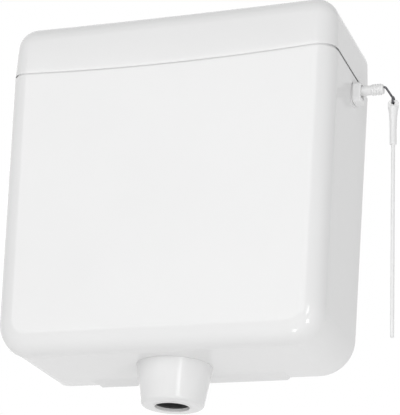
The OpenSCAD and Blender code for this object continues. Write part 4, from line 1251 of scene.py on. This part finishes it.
# %% [markdown]
# The yoke is a ring on the stem with two posts and a cross bar. The lift arm passes between the
# posts and raises the bar, so the stem, the bell and the disc come up together.

# %% Lift yoke
yoke_low, yoke_high = span("lift_yoke")
YOKE_HIGH, YOKE_THICK, POST_WIDE, CROSS_R = 10.0, 3.0, 9.0, 3.0
yoke_out = (yoke_high.y - yoke_low.y) / 2
bar_z = yoke_high.z - CROSS_R
profile = ring(collar_r, stem_r + YOKE_THICK, yoke_low.z, yoke_low.z + YOKE_HIGH, 0.6)
posts = [block((-POST_WIDE / 2, near, yoke_low.z), (POST_WIDE / 2, near + YOKE_THICK, bar_z), 0.7)
         for near in (mech - yoke_out, mech + yoke_out - YOKE_THICK)]
cross_bar = bar(at(0, yoke_low.y, bar_z, ALONG_Y), CROSS_R, 2 * yoke_out, 0.5)
yoke = combined(turned(profile, 64, at(0, mech, 0)), [*posts, cross_bar], "UNION")
piece("yoke_frame", yoke, "lift_yoke")

# %% [markdown]
# Nuts are six-sided bars with their corners turned down. A lathe with six steps gives the bar, and
# its overlap with a chamfered disc gives the worn corners. A thread is drawn as one sheet whose
# radius rises and falls along a helix: each row starts a little further along than the one before.

# %% Nuts and threads
WORN_CORNER = 0.1
THREAD_FIT = 0.15
THREAD_SHAPE = [(0.0, 0), (0.18, 0), (0.42, 1), (0.58, 1), (0.82, 0)]


def hex_nut(place, radius, height, hole):
    """A six-sided nut along the local Z axis, with chamfered corners and a round hole."""
    worn = WORN_CORNER * radius
    prism = turned([(0, 0), (radius, 0), (radius, height), (0, height)], 6, place)
    disc = turned([(0, 0), (radius - worn, 0), (radius, worn / 2), (radius, height - worn / 2),
                   (radius - worn, height), (0, height)], 64, place)
    bore = bar(along(place, -OVER), hole, height + 2 * OVER, 0, 64)
    return combined(combined(prism, [disc], "INTERSECT"), [bore], "DIFFERENCE")


def threaded(place, crest, depth, pitch, length, bore, steps=48):
    """A threaded tube along the local Z axis whose thread fades at both ends."""
    turns = math.ceil(length / pitch) + 1
    profiles = []
    for k in range(steps + 1):
        profile = [(bore, 0)]
        for turn in range(-1, turns):
            for share, rise in THREAD_SHAPE:
                h = min(max((turn + share + k / steps) * pitch, 0), length)
                fade = min(h, length - h, pitch) / pitch
                profile.append((crest - depth * (1 - rise * fade), h))
        profiles.append([*profile, (bore, length)])
    return swept(profiles, place)


clamp_r, clamp_low, clamp_high = upright("outlet_backnut")
clamp_thick = clamp_high - clamp_low
clamp = hex_nut(at(0, mech, -clamp_thick), clamp_r, clamp_thick, TAIL_R + THREAD_FIT)
piece("clamp_nut", clamp, "outlet_backnut")

# %% [markdown]
# The inlet valve lies along X through the left wall. Its threaded tail stands outside, a flange
# with a rubber ring bears on the wall, and its barrel holds the nozzle that the rubber diaphragm
# closes. All its lengths are counted inwards from the outside of the wall.

# %% Inlet valve
INLET_R, INLET_FLANGE_R, BARREL_R, CHAMBER_R = 10.4, 15.9, 13.0, 10.5
NOZZLE_R, NOZZLE_BORE, NOZZLE_BACK, INLET_BORE = 5.0, 2.5, 1.0, 4.0
TAIL_NUT, RELIEF, RELIEF_IN, THREAD_PITCH, THREAD_DEEP = 9.0, 2.0, 0.8, 1.814, 1.0
TAIL_GAP, RELIEF_OVER = 0.6, 1.0
FLANGE_THICK, BARREL_LONG, CHAMBER_LONG = 4.0, 24.0, 18.0
SPIGOT_R, SPIGOT_BORE, SPIGOT_LONG = 4.6, 3.4, 9.0
tail_out = inlet_seat - span("inlet_body")[0].x
flange = washer_far - inlet_seat
barrel = flange + FLANGE_THICK
barrel_end = barrel + BARREL_LONG
chamber = barrel_end - CHAMBER_LONG
nozzle = barrel_end - NOZZLE_BACK
relief_start = -TAIL_NUT - RELIEF
relief_r, relief_low = INLET_R - RELIEF_IN, relief_start - RELIEF_OVER
profile = rounded([(INLET_BORE, relief_low, 0), (relief_r, relief_low, 0), (relief_r, -TAIL_NUT, 0.2),
                   (INLET_R, -TAIL_NUT), (INLET_R, flange, 0), (INLET_FLANGE_R, flange),
                   (INLET_FLANGE_R, barrel, 0.8), (BARREL_R, barrel, 1.2), (BARREL_R, barrel_end),
                   (CHAMBER_R, barrel_end), (CHAMBER_R, chamber), (NOZZLE_R, chamber, 0.6),
                   (NOZZLE_R, nozzle, 0.8), (NOZZLE_BORE, nozzle), (NOZZLE_BORE, chamber),
                   (INLET_BORE, chamber)], 0.4)
valve = turned(profile, 72, inlet_axis)
tail = threaded(along(inlet_axis, -tail_out), INLET_R, THREAD_DEEP, THREAD_PITCH,
                tail_out + relief_start - TAIL_GAP, INLET_BORE)
fill_x = middle("silencer_tube").x
spigot_low = inlet_mid.z - BARREL_R - SPIGOT_LONG
spigot_long = SPIGOT_LONG + BARREL_R - CHAMBER_R + OVER
spigot_axis = at(fill_x, inlet_mid.y, spigot_low)
spigot = bar(spigot_axis, SPIGOT_R, spigot_long)
spigot_bore = bar(along(spigot_axis, -OVER), SPIGOT_BORE, spigot_long + 2 * OVER, 0)
valve = combined(combined(valve, [tail, spigot], "UNION"), [spigot_bore], "DIFFERENCE")
piece("inlet_valve", valve, "inlet_body")

tail_nut = hex_nut(along(inlet_axis, -TAIL_NUT), backnut_r, TAIL_NUT, INLET_R + THREAD_FIT)
piece("tail_nut", tail_nut, "inlet_backnut")
profile = ring(INLET_R + TURN_FIT, INLET_FLANGE_R, 0, washer_far - washer_near, 0.6)
piece("wall_ring", turned(profile, 72, washer_axis), "inlet_washer")

tube_r, tube_low, tube_high = upright("silencer_tube")
profile = ring(SPIGOT_R + PRESS_FIT, tube_r, tube_low, tube_high, 0.5)
piece("fill_tube", turned(profile, 48, at(fill_x, inlet_mid.y, 0)), "silencer_tube")

# %% [markdown]
# A ring nut clamps the float bracket against the barrel. The dozen notches that give it grip are
# cut by one mesh, made by the same tree as the fins. The bracket has two lugs for the arm's pin
# and a sleeve for the plunger that the arm's finger presses.

# %% Ring nut, bracket and plunger
cap_r, cap_near, cap_far = lying("cap_ring")
CAP_LIP, CAP_LIP_R, NOTCHES, NOTCH_R, NOTCH_OUT = 2.5, 10.25, 12, 1.5, 0.6
cap_long, cap_bore = cap_far - cap_near, BARREL_R + THREAD_FIT
cap_lip = cap_long - CAP_LIP
profile = rounded([(cap_bore, 0), (cap_r, 0), (cap_r, cap_long, 1.2), (CAP_LIP_R, cap_long, 0.8),
                   (CAP_LIP_R, cap_lip, 0.3), (cap_bore, cap_lip, 0.3)], 0.6, 6)
cap = turned(profile, 96, at(cap_near, inlet_mid.y, inlet_mid.z, ALONG_X))
notch_axis = at(-OVER, 0, 0, ALONG_X) @ Matrix.Translation((cap_r + NOTCH_OUT, 0, 0))
notch = bar(notch_axis, NOTCH_R, cap_long + 2 * OVER, 0, 20)
notches = repeated("grip_notches", notch, slot_of["cap_ring"], NOTCHES,
                   (cap_near, inlet_mid.y, inlet_mid.z), turn=(2 * math.pi / NOTCHES, 0.0, 0.0))
piece("notched_ring", combined(cap, [notches], "DIFFERENCE"), "cap_ring")

arm_pin_low, arm_pin_high = span("arm_pin")
pivot = middle("arm_pin")
ARM_HUB_R, ARM_HUB_W, LUG_GAP, LUG_THICK, LUG_UP, LUG_DOWN = 4.5, 8.0, 0.4, 3.0, 5.0, 6.5
DISC_THICK, SLEEVE_LONG, SLEEVE_WALL, LUG_SOFT, LUG_PAST = 4.0, 6.5, 2.0, 0.6, 15.0
push_r, push_near, push_far = lying("plunger")
arm_pin_r = (arm_pin_high.z - arm_pin_low.z) / 2
bracket_near = span("arm_bracket")[0].x
lug_near, lug_far = bracket_near + DISC_THICK - OVER, pivot.x + ARM_HUB_R


def valve_bar(start, radius, length, edge=0.4, steps=48):
    """A round bar along X on the valve's axis."""
    return bar(at(start, pivot.y, inlet_mid.z, ALONG_X), radius, length, edge, steps)


bracket = valve_bar(bracket_near, BARREL_R - TURN_FIT, DISC_THICK, 0.5, 72)
lugs = [valve_bar(lug_near, push_r + SLEEVE_WALL, SLEEVE_LONG + OVER)]
lug_in = ARM_HUB_W / 2 + LUG_GAP
for y in (pivot.y - lug_in - LUG_THICK, pivot.y + lug_in):
    lugs.append(block((lug_near, y, inlet_mid.z - LUG_DOWN),
                      (lug_far, y + LUG_THICK, inlet_mid.z + LUG_UP), LUG_SOFT))
    lugs.append(block((pivot.x - ARM_HUB_R, y, pivot.z), (lug_far, y + LUG_THICK, inlet_mid.z), LUG_SOFT))
    lugs.append(bar(at(pivot.x, y, pivot.z, ALONG_Y), ARM_HUB_R, LUG_THICK, 0.5))
holes = [valve_bar(bracket_near - OVER, push_r + TURN_FIT, PAST, 0),
         pin_hole(*pivot, arm_pin_r + PRESS_FIT, LUG_PAST)]
piece("float_bracket", combined(combined(bracket, lugs, "UNION"), holes, "DIFFERENCE"), "arm_bracket")
piece("push_pin", valve_bar(push_near, push_r, push_far - push_near, 0.8), "plunger")
arm_pin = bar(at(pivot.x, arm_pin_low.y, pivot.z, ALONG_Y), arm_pin_r, arm_pin_high.y - arm_pin_low.y)
piece("float_pivot", arm_pin, "arm_pin")

# %% [markdown]
# The float arm is a brass rod, bent forward so that the float clears the valve. It is drawn along
# its own axis and then turned down to where it hangs in the empty tank. Its hub and its finger are
# one casting with the rod.

# %% Float arm
ARM_SLOPE, FINGER_TILT = math.radians(45), math.radians(16)
FLOAT_ROD_R, ROD_START, BEND_START, ROD_BEND = 3.0, 3.0, 26.0, 14.0
FINGER_LONG, FINGER_R, FINGER_WIDE, TIP_IN = 8.0, 3.0, 7.0, 0.5
FLOAT_REACH, FLOAT_LONG, FLOAT_R = 190.0, 96.0, 24.0
BOSS_R, BOSS_OUT, BOSS_IN, BOSS_SOFT = 6.0, 4.0, 10.0, 0.6
forward = pivot.y - middle("float_nut").y
arm_axis = at(*pivot, Matrix.Rotation(ARM_SLOPE, 4, "Y"))
boss_in = BOSS_IN - FLOAT_LONG / 2
rod_line = rounded([(ROD_START, 0, 0), (BEND_START, 0, 0), (BEND_START + forward, -forward, 0),
                    (FLOAT_REACH + boss_in, -forward, 0)], ROD_BEND, BEND_STEPS, closed=False)
arm_rod = wire([arm_axis @ p for p in rod_line], FLOAT_ROD_R, 8)
arm_hub = bar(at(pivot.x, pivot.y - ARM_HUB_W / 2, pivot.z, ALONG_Y), ARM_HUB_R, ARM_HUB_W, 0.5)
finger_axis = at(*pivot, Matrix.Rotation(FINGER_TILT, 4, "Y"))
finger = block((-FINGER_R / 2, -FINGER_WIDE / 2, 0), (FINGER_R / 2, FINGER_WIDE / 2, FINGER_LONG), 0.4)
bmesh.ops.transform(finger, matrix=finger_axis, verts=finger.verts)
tip_axis = finger_axis @ at(0, TIP_IN - FINGER_WIDE / 2, FINGER_LONG, ALONG_Y)
finger_tip = bar(tip_axis, FINGER_R, FINGER_WIDE - 2 * TIP_IN, 0.5)
hub_hole = pin_hole(*pivot, arm_pin_r + TURN_FIT, LUG_PAST)
brass = combined(combined(arm_rod, [arm_hub, finger, finger_tip], "UNION"), [hub_hole], "DIFFERENCE")
piece("brass_arm", brass, "float_arm")

# %% [markdown]
# The float is two blown shells pressed together with a lap. The near one has a boss for the rod,
# and a small brass nut locks it there. A fine groove marks the joint between the shells.

# %% Float
SHELL, LAP, GROOVE, DOME_STEPS = 2.0, 5.0, 0.8, 16
LOCK_NUT_R, LOCK_NUT_HIGH = 7.0, 5.0
float_axis = arm_axis @ Matrix.Translation((FLOAT_REACH, -forward, 0)) @ ALONG_X
dome = FLOAT_LONG / 2 - FLOAT_R
inner_r, lap_r, hole_r = FLOAT_R - SHELL, FLOAT_R - SHELL / 2, FLOAT_ROD_R + PRESS_FIT
boss_end = -FLOAT_LONG / 2 - BOSS_OUT


def domed(radius, start, end, side):
    """A float's domed end, between two angles off its axis, on the near or the far side."""
    start, end = (side * (math.pi / 2 - a) for a in (start, end))
    return arc(0, side * dome, radius, start, end, DOME_STEPS)


near_shell = [(hole_r, boss_end), (BOSS_R - BOSS_SOFT, boss_end), (BOSS_R, boss_end + BOSS_SOFT)]
near_shell += domed(FLOAT_R, math.asin(BOSS_R / FLOAT_R), math.pi / 2, -1)
near_shell += [(FLOAT_R, -GROOVE), (FLOAT_R - GROOVE, 0), (lap_r, 0), (lap_r, LAP), (inner_r, LAP)]
near_shell += domed(inner_r, math.pi / 2, math.asin(BOSS_R / inner_r), -1)
near_shell += [(BOSS_R, boss_in), (hole_r, boss_in)]
piece("float_shell_near", turned(near_shell, 72, float_axis), "float_near_half")

far_lap, lap_end = lap_r + PRESS_FIT, LAP + PRESS_FIT
far_shell = domed(FLOAT_R, 0, math.pi / 2, 1)
far_shell += [(FLOAT_R, GROOVE), (FLOAT_R - GROOVE, 0), (far_lap, 0), (far_lap, lap_end),
              (inner_r, lap_end)]
far_shell += domed(inner_r, math.pi / 2, 0, 1)
piece("float_shell_far", turned(far_shell, 72, float_axis), "float_far_half")

lock_nut = hex_nut(along(float_axis, boss_end - LOCK_NUT_HIGH), LOCK_NUT_R, LOCK_NUT_HIGH, hole_r)
piece("rod_lock_nut", lock_nut, "float_nut")
